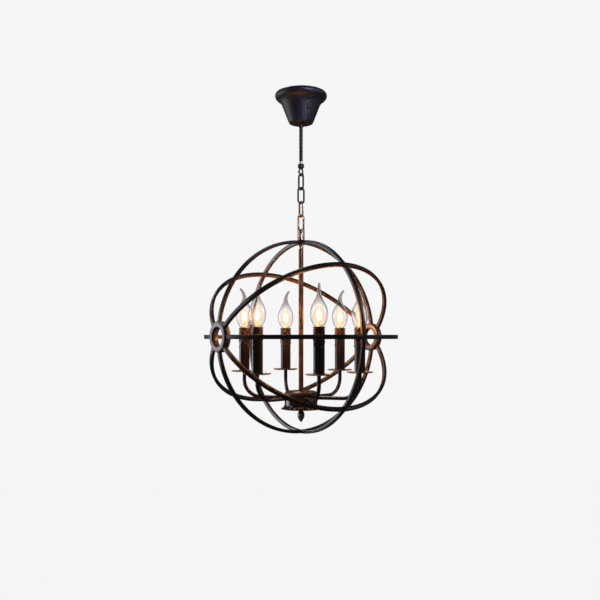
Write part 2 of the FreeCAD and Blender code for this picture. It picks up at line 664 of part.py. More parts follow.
save("ceiling_bracket", ceiling_bracket())
save("bracket_nuts", bracket_nuts())
save("terminal_block", terminal_block())
save("canopy_cup", canopy_cup())
save("canopy_collar", canopy_collar())
save("collar_screw", collar_screw())
save("drop_rod", drop_rod())
save("rod_nipple", rod_nipple())
save("eye_loop", eye_loop())
save("eye_screw", eye_screw())
for number, (top, turn) in enumerate(zip(link_tops, LINK_TURNS), 1):
    save(f"chain_link_{number}", chain_link(top, turn))
save("hang_loop", hang_loop())

save("meridian_band", hub_hoop(90.0))
save("cross_band", cross_band())
for name, tilt in TILTS.items():
    save(name, hub_hoop(tilt))
save("left_hub_ring", hub_ring(-1))
save("right_hub_ring", hub_ring(1))

save("top_nipple", tube(TOP_NIPPLE_R, TOP_NIPPLE_BORE_R, spacer_bottom - TOP_NIPPLE_GRIP,
                        loop_collar_bottom + TOP_NIPPLE_GRIP))
save("top_boss", top_boss())
save("stem_spacer", stem_spacer())
save("stem_tube", tube(STEM_R, stem_bore_r, lid_top, spacer_bottom))
save("drum_lid", drum_lid())
save("arm_drum", arm_drum())
save("drum_dish", drum_dish())
save("tie_rod", tie_rod())
save("finial", finial())

for number, angle in enumerate(candle_angles(), 1):
    save(f"arm_{number}", on_candle_ring(arm(), angle, at_axis=False))
    save(f"drip_pan_{number}", on_candle_ring(drip_pan(), angle))
    save(f"candle_sleeve_{number}", on_candle_ring(candle_sleeve(), angle))
    save(f"lampholder_{number}", on_candle_ring(lampholder(), angle))
    tip_turn = TIP_TURNS[(number - 1) % len(TIP_TURNS)] - angle
    save(f"bulb_{number}", on_candle_ring(bulb(tip_turn), angle, at_axis=False))

print("chain link tops", [round(z, 2) for z in link_tops])
print("eye", round(eye_low, 2), "loop", round(loop_top, 2), "sphere centre", round(orb_z, 2))
print("lid", round(lid_top, 2), "pan", round(pan_bottom, 2), "holder top", round(holder_top, 2))
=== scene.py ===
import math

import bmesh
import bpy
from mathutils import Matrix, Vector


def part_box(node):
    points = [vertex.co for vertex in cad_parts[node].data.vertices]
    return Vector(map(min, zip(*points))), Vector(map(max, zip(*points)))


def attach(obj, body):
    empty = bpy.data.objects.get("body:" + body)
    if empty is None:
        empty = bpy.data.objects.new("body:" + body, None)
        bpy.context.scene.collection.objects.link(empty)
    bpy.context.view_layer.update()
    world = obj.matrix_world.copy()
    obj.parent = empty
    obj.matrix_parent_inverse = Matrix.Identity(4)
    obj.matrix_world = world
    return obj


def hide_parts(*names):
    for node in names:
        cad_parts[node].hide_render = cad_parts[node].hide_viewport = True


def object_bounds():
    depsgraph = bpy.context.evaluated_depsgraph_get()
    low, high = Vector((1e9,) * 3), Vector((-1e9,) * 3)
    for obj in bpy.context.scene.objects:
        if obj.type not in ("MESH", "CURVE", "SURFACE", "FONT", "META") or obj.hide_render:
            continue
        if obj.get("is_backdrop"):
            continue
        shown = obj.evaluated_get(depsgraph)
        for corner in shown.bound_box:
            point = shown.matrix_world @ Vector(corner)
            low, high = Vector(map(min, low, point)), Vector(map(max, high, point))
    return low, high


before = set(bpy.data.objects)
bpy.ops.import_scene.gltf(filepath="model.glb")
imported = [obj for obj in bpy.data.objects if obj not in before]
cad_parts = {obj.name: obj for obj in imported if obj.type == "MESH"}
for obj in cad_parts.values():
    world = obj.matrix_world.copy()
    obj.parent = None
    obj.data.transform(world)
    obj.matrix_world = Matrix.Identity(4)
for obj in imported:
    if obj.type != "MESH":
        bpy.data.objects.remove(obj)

# %% [markdown]
# # An orb chandelier, dressed in Blender
# The CAD model has every solid of the lamp at its real size: canopy, chain, five hoops, stem, drum,
# arms, candles and bulbs. This file gives the lamp its looks. Pieces whose CAD shape is already
# right only get a finish. The pieces that need softer edges, wax, glass or a glow are modelled
# again over the CAD ones. Everything is in metres, in the CAD model's own frame: +Z is up, and the
# ceiling is at z = 0.

MM = 0.001
FULL_TURN = 2 * math.pi
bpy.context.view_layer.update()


def middle(node):
    """Centre of a CAD node's box."""
    low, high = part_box(node)
    return (low + high) / 2


def numbered(stem):
    """The names of the six nodes of a repeated piece, in order."""
    return [f"{stem}_{i}" for i in range(1, 7)]


# %% [markdown]
# ## Modelling by hand, in code
# A modeller adds a primitive, goes into edit mode, picks faces or edges and uses one operator after
# another. The same operators work in a script, with one difference: nothing is picked with the
# mouse, so elements are picked by their place or by the way they face. Operators act on all that is
# selected, so each piece starts with everything deselected.

# %% Picking and leaving edit mode
def let_go():
    """Go back to object mode with nothing selected."""
    if bpy.context.mode != "OBJECT":
        bpy.ops.object.mode_set(mode="OBJECT")
    bpy.ops.object.select_all(action="DESELECT")


def work_on(piece, kind="VERT"):
    """Open one piece in edit mode with all of it selected."""
    let_go()
    piece.select_set(True)
    bpy.context.view_layer.objects.active = piece
    bpy.ops.object.mode_set(mode="EDIT")
    bpy.ops.mesh.select_mode(type=kind)
    bpy.ops.mesh.select_all(action="SELECT")


def pick(piece, kind, wanted):
    """In edit mode, select the vertices, edges or faces that are wanted, and count them."""
    bpy.ops.mesh.select_mode(type=kind)
    bpy.ops.mesh.select_all(action="DESELECT")
    shape = bmesh.from_edit_mesh(piece.data)
    found = 0
    for element in {"VERT": shape.verts, "EDGE": shape.edges, "FACE": shape.faces}[kind]:
        if wanted(element):
            element.select_set(True)
            found += 1
    bmesh.update_edit_mesh(piece.data)
    return found


def place(piece, at=(0, 0, 0), turn=(0, 0, 0)):
    """Turn a piece, given in degrees, move it, and press both into its mesh."""
    let_go()
    piece.select_set(True)
    bpy.context.view_layer.objects.active = piece
    piece.rotation_euler = [math.radians(a) for a in turn]
    piece.location = at
    bpy.ops.object.transform_apply(location=True, rotation=True, scale=True)
    return piece


def copied(piece, name):
    """A copy with a mesh of its own."""
    twin = piece.copy()
    twin.data = piece.data.copy()
    twin.name = name
    bpy.context.scene.collection.objects.link(twin)
    return twin


def joined(pieces, name):
    """Several pieces made one."""
    let_go()
    for piece in pieces:
        piece.select_set(True)
    bpy.context.view_layer.objects.active = pieces[0]
    if len(pieces) > 1:
        bpy.ops.object.join()
    pieces[0].name = name
    return pieces[0]


def smooth(piece, degrees=35):
    """Shade smooth, but keep the edges that are sharper than an angle."""
    let_go()
    piece.select_set(True)
    bpy.context.view_layer.objects.active = piece
    bpy.ops.object.shade_smooth_by_angle(angle=math.radians(degrees))
    return piece


def with_modifier(piece, kind, **settings):
    """Add a modifier, set it and apply it."""
    let_go()
    piece.select_set(True)
    bpy.context.view_layer.objects.active = piece
    modifier = piece.modifiers.new(kind, kind)
    for key, value in settings.items():
        setattr(modifier, key, value)
    bpy.ops.object.modifier_apply(modifier=modifier.name)
    return piece


print("tools ready")


# %% [markdown]
# Most parts of a lamp are turned or spun, so one helper does what a lathe does. It draws a half
# outline by extruding a single vertex from point to point, and then spins that line about the Z
# axis. Points are given as (radius, height) in millimetres.

# %% A lathe made of two operators
def drawn_line(name, points):
    """A line in the XZ plane through points given in mm, left open in edit mode."""
    let_go()
    first = points[0]
    bpy.ops.mesh.primitive_plane_add(size=MM, location=(first[0] * MM, 0, first[1] * MM))
    piece = bpy.context.object
    piece.name = name
    bpy.ops.object.transform_apply(location=True, rotation=True, scale=True)
    work_on(piece)
    bpy.ops.mesh.merge(type="CENTER")
    for here, there in zip(points, points[1:]):
        step = ((there[0] - here[0]) * MM, 0, (there[1] - here[1]) * MM)
        bpy.ops.mesh.extrude_region_move(TRANSFORM_OT_translate={"value": step})
    return piece


def spun(name, points, steps=48, axis_turn=(0, 0, 0), at=(0, 0, 0)):
    """A turned piece. Its outline runs from the bottom outside round to where it closes."""
    piece = drawn_line(name, points)
    bpy.ops.mesh.select_all(action="SELECT")
    bpy.ops.mesh.spin(steps=steps, angle=FULL_TURN, center=(0, 0, 0), axis=(0, 0, 1))
    bpy.ops.mesh.select_all(action="SELECT")
    bpy.ops.mesh.remove_doubles(threshold=1e-6)
    bpy.ops.mesh.normals_make_consistent(inside=False)
    return place(piece, at, axis_turn)


print("lathe ready")

# %% [markdown]
# ## The camera
# The photo was taken level with the middle of the sphere. The ellipses of the hoops give the
# distance, and the way the hub rings open gives the angle: 36 degrees round from the front. The
# sphere's centre lies a little under the picture's centre, which is a lens shift and not a tilt,
# because the upright edges stay upright.

# %% Camera at the photo's place
ORB_CENTRE = middle("cross_band")
CAMERA_TURN = -36.2
CAMERA_DISTANCE = 1.5
FOCAL_PIXELS = 721.5
PICTURE = 600.0
CENTRE_PIXEL = (301.0, 336.9)
SENSOR = 36.0

back = Vector((math.sin(math.radians(CAMERA_TURN)), -math.cos(math.radians(CAMERA_TURN)), 0))
camera_data = bpy.data.cameras.new("photo_camera")
camera_data.sensor_width = SENSOR
camera_data.lens = FOCAL_PIXELS / PICTURE * SENSOR
camera_data.shift_x = (PICTURE / 2 - CENTRE_PIXEL[0]) / PICTURE
camera_data.shift_y = (CENTRE_PIXEL[1] - PICTURE / 2) / PICTURE
camera = bpy.data.objects.new("photo_camera", camera_data)
bpy.context.scene.collection.objects.link(camera)
camera.location = ORB_CENTRE + back * CAMERA_DISTANCE
camera.rotation_mode = "QUATERNION"
camera.rotation_quaternion = (-back).to_track_quat("-Z", "Y")
bpy.context.scene.camera = camera
bpy.context.scene.view_settings.view_transform = "Standard"
print("camera at, mm:", [round(v / MM) for v in camera.location])

# %% [markdown]
# ## Light and surroundings
# The lamp hangs in a white studio. A white world is right behind the lamp, but black lacquer that
# mirrors white all round turns grey. So the world shows white to the camera and through glass, and
# a softer grey to everything else, and five soft boxes draw the highlights. The fourth stands where
# the flat faces of the hub rings mirror it to the camera, which is what makes the left ring look
# pale. The fifth is the cool sheen on the right of the canopy.

# %% White studio
WHITE = 0.92
AROUND = 0.07
COOLER = 1.05

world = bpy.data.worlds.new("studio")
bpy.context.scene.world = world
world.use_nodes = True
nodes = world.node_tree.nodes
links = world.node_tree.links
seen = nodes["Background"]
seen.inputs["Color"].default_value = (WHITE, WHITE, WHITE, 1)
soft = nodes.new("ShaderNodeBackground")
soft.inputs["Color"].default_value = (AROUND, AROUND, AROUND * COOLER, 1)
path = nodes.new("ShaderNodeLightPath")
either = nodes.new("ShaderNodeMath")
either.operation = "MAXIMUM"
links.new(path.outputs["Is Camera Ray"], either.inputs[0])
links.new(path.outputs["Is Transmission Ray"], either.inputs[1])
blend = nodes.new("ShaderNodeMixShader")
links.new(either.outputs[0], blend.inputs["Fac"])
links.new(soft.outputs[0], blend.inputs[1])
links.new(seen.outputs[0], blend.inputs[2])
links.new(blend.outputs[0], nodes["World Output"].inputs["Surface"])
print("world: white", WHITE, "around", AROUND)


# %% Soft boxes
def soft_box(name, offset, size, power, colour, aim=Vector((0, 0, 0)), spread=180):
    """A square soft box that stands at offset and looks at aim, both from the sphere's centre."""
    data = bpy.data.lights.new(name, "AREA")
    data.size = size
    data.energy = power
    data.color = colour
    data.spread = math.radians(spread)
    lamp = bpy.data.objects.new(name, data)
    bpy.context.scene.collection.objects.link(lamp)
    lamp.location = ORB_CENTRE + offset
    lamp.rotation_mode = "QUATERNION"
    lamp.rotation_quaternion = (aim - offset).to_track_quat("-Z", "Y")
    lamp.visible_camera = False
    lamp.visible_transmission = False
    return lamp


COOL = (0.84, 0.84, 1.0)
side = Vector((-back.y, back.x, 0))
up = Vector((0, 0, 1))
mirrored = Vector((back.x, -back.y, 0))
above = middle("canopy_cup") - ORB_CENTRE
soft_box("left_box", back * 0.5 - side * 2.0 + up * 0.9, size=0.8, power=8, colour=COOL)
soft_box("right_box", back * 0.2 + side * 2.1 + up * 0.8, size=0.7, power=9, colour=COOL)
soft_box("top_box", -back * 0.8 - side * 0.4 + up * 2.0, size=0.7, power=28,
         colour=(0.90, 0.88, 1.0))
soft_box("hub_box", mirrored * 2.0, size=1.1, power=20, colour=(0.92, 0.90, 1.0))
soft_box("sheen_box", above + back * 1.1 + side * 0.7, size=0.5, power=1.3,
         colour=(0.66, 0.62, 1.0), aim=above, spread=20)

# %% Pale floor
FLOOR_DROP = 1.6
FLOOR_R = 14.0
FLOOR_GREY = 0.03
FLOOR_GLOW = 0.91
FADE_FROM, FADE_TO = 0.25, 0.95

let_go()
bpy.ops.mesh.primitive_circle_add(vertices=96, radius=FLOOR_R, fill_type="NGON",
                                  location=(0, 0, ORB_CENTRE.z - FLOOR_DROP))
floor = bpy.context.object
floor.name = "floor"
pale = bpy.data.materials.new("pale_floor")
pale.use_nodes = True
nodes = pale.node_tree.nodes
links = pale.node_tree.links
shader = nodes["Principled BSDF"]
shader.inputs["Base Color"].default_value = (FLOOR_GREY, FLOOR_GREY, FLOOR_GREY, 1)
shader.inputs["Roughness"].default_value = 0.9
shader.inputs["Specular IOR Level"].default_value = 0.0
shader.inputs["Emission Color"].default_value = (1, 1, 1, 1)
shader.inputs["Emission Strength"].default_value = FLOOR_GLOW
spot = nodes.new("ShaderNodeTexCoord")
length = nodes.new("ShaderNodeVectorMath")
length.operation = "LENGTH"
fade = nodes.new("ShaderNodeMapRange")
fade.interpolation_type = "SMOOTHSTEP"
fade.inputs["From Min"].default_value = FADE_FROM * FLOOR_R
fade.inputs["From Max"].default_value = FADE_TO * FLOOR_R
fade.inputs["To Min"].default_value = 1.0
fade.inputs["To Max"].default_value = 0.0
links.new(spot.outputs["Object"], length.inputs[0])
links.new(length.outputs["Value"], fade.inputs["Value"])
links.new(fade.outputs["Result"], shader.inputs["Alpha"])
floor.data.materials.append(pale)
floor.visible_diffuse = False
floor.visible_glossy = False
floor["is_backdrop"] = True
print("floor", FLOOR_DROP, "m under the sphere's centre")

# %% [markdown]
# ## Shared effects
# Two things happen to every metal finish on this lamp. Paint wears thin on the corners, and patina
# gathers in patches. Each is a node group, built once, with its own values in each material. A
# group only puts out masks, colours and heights, and the shader stays in the material.

# %% Worn edges
def group(name, inputs, outputs):
    """An empty shader node group with named sockets, given as (name, type, default)."""
    made = bpy.data.node_groups.new(name, "ShaderNodeTree")
    for socket, kind, value in inputs:
        entry = made.interface.new_socket(name=socket, in_out="INPUT", socket_type=kind)
        entry.default_value = value
    for socket, kind in outputs:
        made.interface.new_socket(name=socket, in_out="OUTPUT", socket_type=kind)
    return made, made.nodes.new("NodeGroupInput"), made.nodes.new("NodeGroupOutput")


FLOAT = "NodeSocketFloat"
COLOUR = "NodeSocketColor"
SAME_WAY = 0.99
WEAR_BREAKS = (0.3, 0.65)
LEAST_WEAR = 0.35


def worn_edges():
    """A mask of rubbed corners, where a rounded normal leaves the true one. Noise breaks it."""
    given_sockets = [("Radius", FLOAT, 0.001), ("Noise Scale", FLOAT, 150.0),
                     ("Reach", FLOAT, 0.25)]
    made, given, out = group("worn_edges", given_sockets, [("Mask", FLOAT)])
    nodes, links = made.nodes, made.links
    rounded = nodes.new("ShaderNodeBevel")
    rounded.samples = 8
    true = nodes.new("ShaderNodeNewGeometry")
    dot = nodes.new("ShaderNodeVectorMath")
    dot.operation = "DOT_PRODUCT"
    where = nodes.new("ShaderNodeTexCoord")
    noise = nodes.new("ShaderNodeTexNoise")
    noise.inputs["Detail"].default_value = 4.0
    lifted = nodes.new("ShaderNodeMapRange")
    lifted.inputs["From Min"].default_value = WEAR_BREAKS[0]
    lifted.inputs["From Max"].default_value = WEAR_BREAKS[1]
    lifted.inputs["To Min"].default_value = LEAST_WEAR
    lifted.inputs["To Max"].default_value = 1.0
    corner = nodes.new("ShaderNodeMapRange")
    corner.inputs["From Min"].default_value = SAME_WAY
    corner.inputs["To Min"].default_value = 0.0
    corner.inputs["To Max"].default_value = 1.0
    reach = nodes.new("ShaderNodeMath")
    reach.operation = "SUBTRACT"
    reach.inputs[0].default_value = SAME_WAY
    both = nodes.new("ShaderNodeMath")
    both.operation = "MULTIPLY"
    both.use_clamp = True
    links.new(given.outputs["Radius"], rounded.inputs["Radius"])
    links.new(rounded.outputs["Normal"], dot.inputs[0])
    links.new(true.outputs["True Normal"], dot.inputs[1])
    links.new(given.outputs["Reach"], reach.inputs[1])
    links.new(reach.outputs[0], corner.inputs["From Max"])
    links.new(dot.outputs["Value"], corner.inputs["Value"])
    links.new(where.outputs["Object"], noise.inputs["Vector"])
    links.new(given.outputs["Noise Scale"], noise.inputs["Scale"])
    links.new(noise.outputs["Fac"], lifted.inputs["Value"])
    links.new(corner.outputs["Result"], both.inputs[0])
    links.new(lifted.outputs["Result"], both.inputs[1])
    links.new(both.outputs[0], out.inputs["Mask"])
    return made


WORN = worn_edges()
print("group", WORN.name)


# %% Patina in patches
PATCH_SOFTNESS = 0.14
GRAIN_SHARE = 0.4


def patina():
    """Soft patches: a colour between two, a mask of the patches, and a fine height for the bump."""
    given_sockets = [("Dark", COLOUR, (0, 0, 0, 1)), ("Light", COLOUR, (1, 1, 1, 1)),
                     ("Patch Scale", FLOAT, 40.0), ("Grain Scale", FLOAT, 900.0),
                     ("Balance", FLOAT, 0.5)]
    put_out = [("Color", COLOUR), ("Mask", FLOAT), ("Height", FLOAT)]
    made, given, out = group("patina", given_sockets, put_out)
    nodes, links = made.nodes, made.links
    where = nodes.new("ShaderNodeTexCoord")
    patches = nodes.new("ShaderNodeTexNoise")
    patches.inputs["Detail"].default_value = 6.0
    patches.inputs["Roughness"].default_value = 0.6
    patches.inputs["Distortion"].default_value = 0.6
    grain = nodes.new("ShaderNodeTexNoise")
    grain.inputs["Detail"].default_value = 2.0
    low = nodes.new("ShaderNodeMath")
    low.operation = "SUBTRACT"
    low.inputs[1].default_value = PATCH_SOFTNESS
    high = nodes.new("ShaderNodeMath")
    high.operation = "ADD"
    high.inputs[1].default_value = PATCH_SOFTNESS
    mask = nodes.new("ShaderNodeMapRange")
    mask.interpolation_type = "SMOOTHSTEP"
    tint = nodes.new("ShaderNodeMix")
    tint.data_type = "RGBA"
    height = nodes.new("ShaderNodeMath")
    height.operation = "MULTIPLY_ADD"
    height.inputs[1].default_value = GRAIN_SHARE
    links.new(where.outputs["Object"], patches.inputs["Vector"])
    links.new(where.outputs["Object"], grain.inputs["Vector"])
    links.new(given.outputs["Patch Scale"], patches.inputs["Scale"])
    links.new(given.outputs["Grain Scale"], grain.inputs["Scale"])
    links.new(given.outputs["Balance"], low.inputs[0])
    links.new(given.outputs["Balance"], high.inputs[0])
    links.new(low.outputs[0], mask.inputs["From Min"])
    links.new(high.outputs[0], mask.inputs["From Max"])
    links.new(patches.outputs["Fac"], mask.inputs["Value"])
    links.new(mask.outputs["Result"], tint.inputs["Factor"])
    links.new(given.outputs["Dark"], tint.inputs["A"])
    links.new(given.outputs["Light"], tint.inputs["B"])
    links.new(grain.outputs["Fac"], height.inputs[0])
    links.new(patches.outputs["Fac"], height.inputs[2])
    links.new(tint.outputs["Result"], out.inputs["Color"])
    links.new(mask.outputs["Result"], out.inputs["Mask"])
    links.new(height.outputs[0], out.inputs["Height"])
    return made


PATINA = patina()
print("group", PATINA.name)


# %% [markdown]
# ## Finishes
# One function makes all the metal and lacquer finishes: patches of patina between two colours,
# corners rubbed through to a third, roughness that follows the patches and a faint bump. The values
# make the difference between satin black lacquer, oil-rubbed bronze on iron and antique brass.

# %% Lacquered and patinated metals
def rgb(r, g, b):
    """A colour with full alpha."""
    return (r, g, b, 1.0)


def finish(name, dark, light, bare=None, metal=0.0, bare_metal=0.7, rough=(0.35, 0.5), patch=40.0,
           balance=0.5, bump=0.15, depth=0.00015, edge=0.0012, reach=0.25, wear=150.0, coat=0.0,
           specular=0.5):
    """A finished metal. dark, light and bare are colours; rough is its smoothest and roughest."""
    made = bpy.data.materials.new(name)
    made.use_nodes = True
    nodes, links = made.node_tree.nodes, made.node_tree.links
    shader = nodes["Principled BSDF"]
    shader.inputs["Coat Roughness"].default_value = 0.2
    shader.inputs["Coat Weight"].default_value = coat
    shader.inputs["Specular IOR Level"].default_value = specular
    patches = nodes.new("ShaderNodeGroup")
    patches.node_tree = PATINA
    patches.inputs["Dark"].default_value = dark
    patches.inputs["Light"].default_value = light
    patches.inputs["Patch Scale"].default_value = patch
    patches.inputs["Balance"].default_value = balance
    roughness = nodes.new("ShaderNodeMapRange")
    roughness.inputs["To Min"].default_value = rough[0]
    roughness.inputs["To Max"].default_value = rough[1]
    links.new(patches.outputs["Mask"], roughness.inputs["Value"])
    links.new(roughness.outputs["Result"], shader.inputs["Roughness"])
    relief = nodes.new("ShaderNodeBump")
    relief.inputs["Strength"].default_value = bump
    relief.inputs["Distance"].default_value = depth
    links.new(patches.outputs["Height"], relief.inputs["Height"])
    links.new(relief.outputs["Normal"], shader.inputs["Normal"])
    if bare is None:
        links.new(patches.outputs["Color"], shader.inputs["Base Color"])
        shader.inputs["Metallic"].default_value = metal
        return made
    worn = nodes.new("ShaderNodeGroup")
    worn.node_tree = WORN
    worn.inputs["Radius"].default_value = edge
    worn.inputs["Reach"].default_value = reach
    worn.inputs["Noise Scale"].default_value = wear
    rubbed = nodes.new("ShaderNodeMix")
    rubbed.data_type = "RGBA"
    rubbed.inputs["B"].default_value = bare
    shine = nodes.new("ShaderNodeMapRange")
    shine.inputs["To Min"].default_value = metal
    shine.inputs["To Max"].default_value = bare_metal
    links.new(worn.outputs["Mask"], rubbed.inputs["Factor"])
    links.new(patches.outputs["Color"], rubbed.inputs["A"])
    links.new(rubbed.outputs["Result"], shader.inputs["Base Color"])
    links.new(worn.outputs["Mask"], shine.inputs["Value"])
    links.new(shine.outputs["Result"], shader.inputs["Metallic"])
    return made


CANOPY_BLACK = finish("canopy_black", rgb(0.001, 0.001, 0.003), rgb(0.002, 0.002, 0.005),
                      rough=(0.46, 0.52), patch=9, bump=0.0, specular=0.35)
BLACK = finish("satin_black", rgb(0.003, 0.003, 0.006), rgb(0.006, 0.006, 0.010),
               rough=(0.30, 0.38), patch=22, bump=0.0, specular=0.3)
HOOP_BRONZE = finish("forged_bronze", rgb(0.006, 0.003, 0.002), rgb(0.024, 0.012, 0.0065),
                     rgb(0.16, 0.085, 0.05), rough=(0.26, 0.34), patch=16, bump=0.0, edge=0.0007,
                     reach=0.5, wear=18, specular=0.4)
HUB_BRONZE = finish("hub_bronze", rgb(0.020, 0.015, 0.015), rgb(0.062, 0.050, 0.052),
                    rgb(0.20, 0.16, 0.15), metal=0.3, rough=(0.30, 0.42), patch=90, bump=0.15,
                    depth=0.0003, edge=0.0008, reach=0.5, wear=60)
STEM_BRONZE = finish("stem_bronze", rgb(0.045, 0.025, 0.013), rgb(0.11, 0.060, 0.030),
                     metal=0.6, rough=(0.26, 0.34), patch=14, bump=0.0)
DRUM_BRONZE = finish("drum_bronze", rgb(0.006, 0.004, 0.003), rgb(0.018, 0.010, 0.007),
                     rgb(0.18, 0.10, 0.06), rough=(0.22, 0.34), patch=24, bump=0.0, edge=0.0008,
                     reach=0.45, wear=30)
PAN_BRASS = finish("pan_brass", rgb(0.18, 0.14, 0.095), rgb(0.42, 0.35, 0.25),
                   rgb(0.75, 0.66, 0.5), metal=0.85, bare_metal=1.0, rough=(0.25, 0.42), patch=60,
                   bump=0.1, depth=0.0002, edge=0.0006, reach=0.4, wear=60)
ANTIQUE_BRASS = finish("antique_brass", rgb(0.10, 0.075, 0.05), rgb(0.42, 0.34, 0.23),
                       rgb(0.80, 0.70, 0.52), metal=0.9, bare_metal=1.0, rough=(0.25, 0.5),
                       patch=130, bump=0.3, depth=0.0003, edge=0.0007, reach=0.4)
PALE_BRASS = finish("pale_brass", rgb(0.55, 0.43, 0.28), rgb(0.78, 0.66, 0.48), metal=1.0,
                    rough=(0.2, 0.35), patch=200)
ZINC = finish("zinc_steel", rgb(0.46, 0.46, 0.44), rgb(0.66, 0.66, 0.63), metal=1.0,
              rough=(0.3, 0.45), patch=180)
NIPPLE = finish("turned_nipple", rgb(0.42, 0.33, 0.30), rgb(0.62, 0.52, 0.48), metal=0.9,
                rough=(0.3, 0.42), patch=220)
TERMINAL = finish("terminal_plastic", rgb(0.70, 0.69, 0.64), rgb(0.80, 0.79, 0.74),
                  rough=(0.5, 0.6), patch=90)
CANDLE_BLACK = finish("candle_black", rgb(0.006, 0.0035, 0.003), rgb(0.012, 0.007, 0.0055),
                      rough=(0.22, 0.28), patch=14, bump=0.0, coat=0.1, specular=0.4)
# Copper patches and rubbed rib edges: partly copper patina, partly painted glints of the bulbs'
# light on the ribs.
HOLDER_PATINA_AND_GLINTS = finish("holder_black", rgb(0.008, 0.005, 0.004), rgb(0.17, 0.072, 0.032),
                      rgb(0.34, 0.17, 0.09), bare_metal=0.5, rough=(0.2, 0.36), patch=190,
                      balance=0.6, bump=0.1, depth=0.0003, edge=0.0009, reach=0.3, wear=220)
print("finishes:", len(bpy.data.materials))


# %% [markdown]
# The rod, the chain, the stem, the drum and the arms have their final shape in the CAD model
# already. Modelling them again would only copy it, so each just gets its finish.

# %% Finishes on the CAD pieces that keep their shape
def dress(nodes, material):
    """Give CAD nodes a finish."""
    for node in nodes:
        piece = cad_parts[node]
        piece.data.materials.clear()
        piece.data.materials.append(material)


dress(["canopy_collar", "drop_rod", "eye_loop", "eye_screw", "chain_link_1", "chain_link_2"], BLACK)
dress(["chain_link_3", "hang_loop"], ANTIQUE_BRASS)
dress(["stem_spacer"], PALE_BRASS)
dress(["top_boss"], HOOP_BRONZE)
dress(["stem_tube"], STEM_BRONZE)
dress(["drum_lid", "arm_drum", "drum_dish"] + numbered("arm"), DRUM_BRONZE)
dress(["ceiling_bracket", "bracket_nuts", "collar_screw", "top_nipple", "tie_rod"], ZINC)
dress(["rod_nipple"], NIPPLE)
dress(["terminal_block"], TERMINAL)
print("dressed CAD nodes:", sum(len(o.data.materials) > 0 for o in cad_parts.values()))


# %% [markdown]
# The lamp moves: the canopy slides, the links swing and the bulbs turn. A new piece has to move
# with the right body, so one helper gives it its finish and its body, and hides the CAD piece that
# it stands for.

# %% Putting a new piece on its body
def settle(piece, body, slot, material, *nodes):
    """Give a new piece its finish and its body, and hide the CAD nodes it stands for. slot is not
    used.
    """
    piece.data.materials.clear()
    piece.data.materials.append(material)
    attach(piece, body)
    if nodes:
        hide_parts(*nodes)
    return piece


# %% [markdown]
# ## The canopy
# The canopy is spun from sheet: it turns out in one flowing line from the foot to a soft rolled
# lip. A few points give that line, and a curve that runs smoothly through them fills in the rest,
# the way a batten bends round pins.

# %% A batten round pins
def batten(pins, steps=4):
    """A smooth line through points, which takes its slope at each from the two beside it."""
    ends = [pins[0]] + list(pins) + [pins[-1]]
    line = []
    for before, here, there, after in zip(ends, ends[1:], ends[2:], ends[3:]):
        for i in range(steps):
            t = i / steps
            line.append(tuple(0.5 * (2 * b + (c - a) * t + (2 * a - 5 * b + 4 * c - d) * t ** 2
                                     + (3 * b - a - 3 * c + d) * t ** 3)
                              for a, b, c, d in zip(before, here, there, after)))
    return line + [tuple(pins[-1])]


print("a batten through 3 pins:", len(batten([(0, 0), (1, 1), (2, 0)])), "points")

# %% Canopy
canopy_low, canopy_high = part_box("canopy_cup")
CANOPY_R = (canopy_high.x - canopy_low.x) / 2 / MM
CANOPY_H = (canopy_high.z - canopy_low.z) / MM
CANOPY_SHEET = 1.2
ROD_HOLE_R = 4.1
FOOT_R = 7.0
# in from the widest radius, in mm, and down from the ceiling, as a share of the height
BELL = ((33.0, 0.982), (30.2, 0.966), (28.3, 0.930), (22.0, 0.69), (15.8, 0.44), (12.6, 0.335),
        (8.2, 0.255), (3.8, 0.205), (1.3, 0.160), (0.0, 0.105), (0.4, 0.055), (1.8, 0.016),
        (3.6, 0.0))

bell = batten([(CANOPY_R - inset, -share * CANOPY_H) for inset, share in BELL])
lining = [(r - CANOPY_SHEET, z) for r, z in reversed(bell)
          if r - CANOPY_SHEET > CANOPY_R - BELL[2][0]]
canopy_line = [(ROD_HOLE_R, -CANOPY_H), (FOOT_R, -CANOPY_H)] + bell + lining
canopy_line += [(CANOPY_R - BELL[0][0], 2 * CANOPY_SHEET - CANOPY_H),
                (FOOT_R, CANOPY_SHEET - CANOPY_H), (ROD_HOLE_R, CANOPY_SHEET - CANOPY_H),
                (ROD_HOLE_R, -CANOPY_H)]
canopy = spun("canopy", canopy_line, steps=96, at=(0, 0, canopy_high.z))
settle(smooth(canopy, 50), "canopy", "satin_black", CANOPY_BLACK, "canopy_cup")
print("canopy:", len(canopy.data.polygons), "faces")

# %% [markdown]
# ## The hoops
# Each hoop is a flat iron bar with rounded corners, rolled into a ring. Four of them end at the
# outer walls of the two hub rings, and they are cut again where the fifth crosses them. A plane
# with bevelled corners is the bar's section, and a spin rolls it along a quarter of the ring. The
# four quarters of a hoop become one piece. The hoops could stay as the CAD made them, but bars with
# soft corners catch a thin line of light, and the photo shows that line on each of them.

# %% Bar section and quarter hoop
low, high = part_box("cross_band")
HOOP_R = (high.z - low.z) / 2
BAR_WIDTH = high.x - low.x
BAR_THICK = 7.0 * MM
BAR_ROUND = 1.2 * MM
BAR_IN_HUB = 2.5 * MM
BAR_IN_CROSS = 0.3 * MM
DEGREES_A_STEP = 1.8
hub_low, hub_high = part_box("right_hub_ring")
HUB_R = (hub_high.z - hub_low.z) / 2
HUB_LENGTH = hub_high.x - hub_low.x
bar_middle_r = HOOP_R - BAR_THICK / 2
hub_angle = math.degrees(math.asin((HUB_R - BAR_IN_HUB) / bar_middle_r))
cross_angle = math.degrees(math.asin((BAR_WIDTH / 2 - BAR_IN_CROSS) / bar_middle_r))


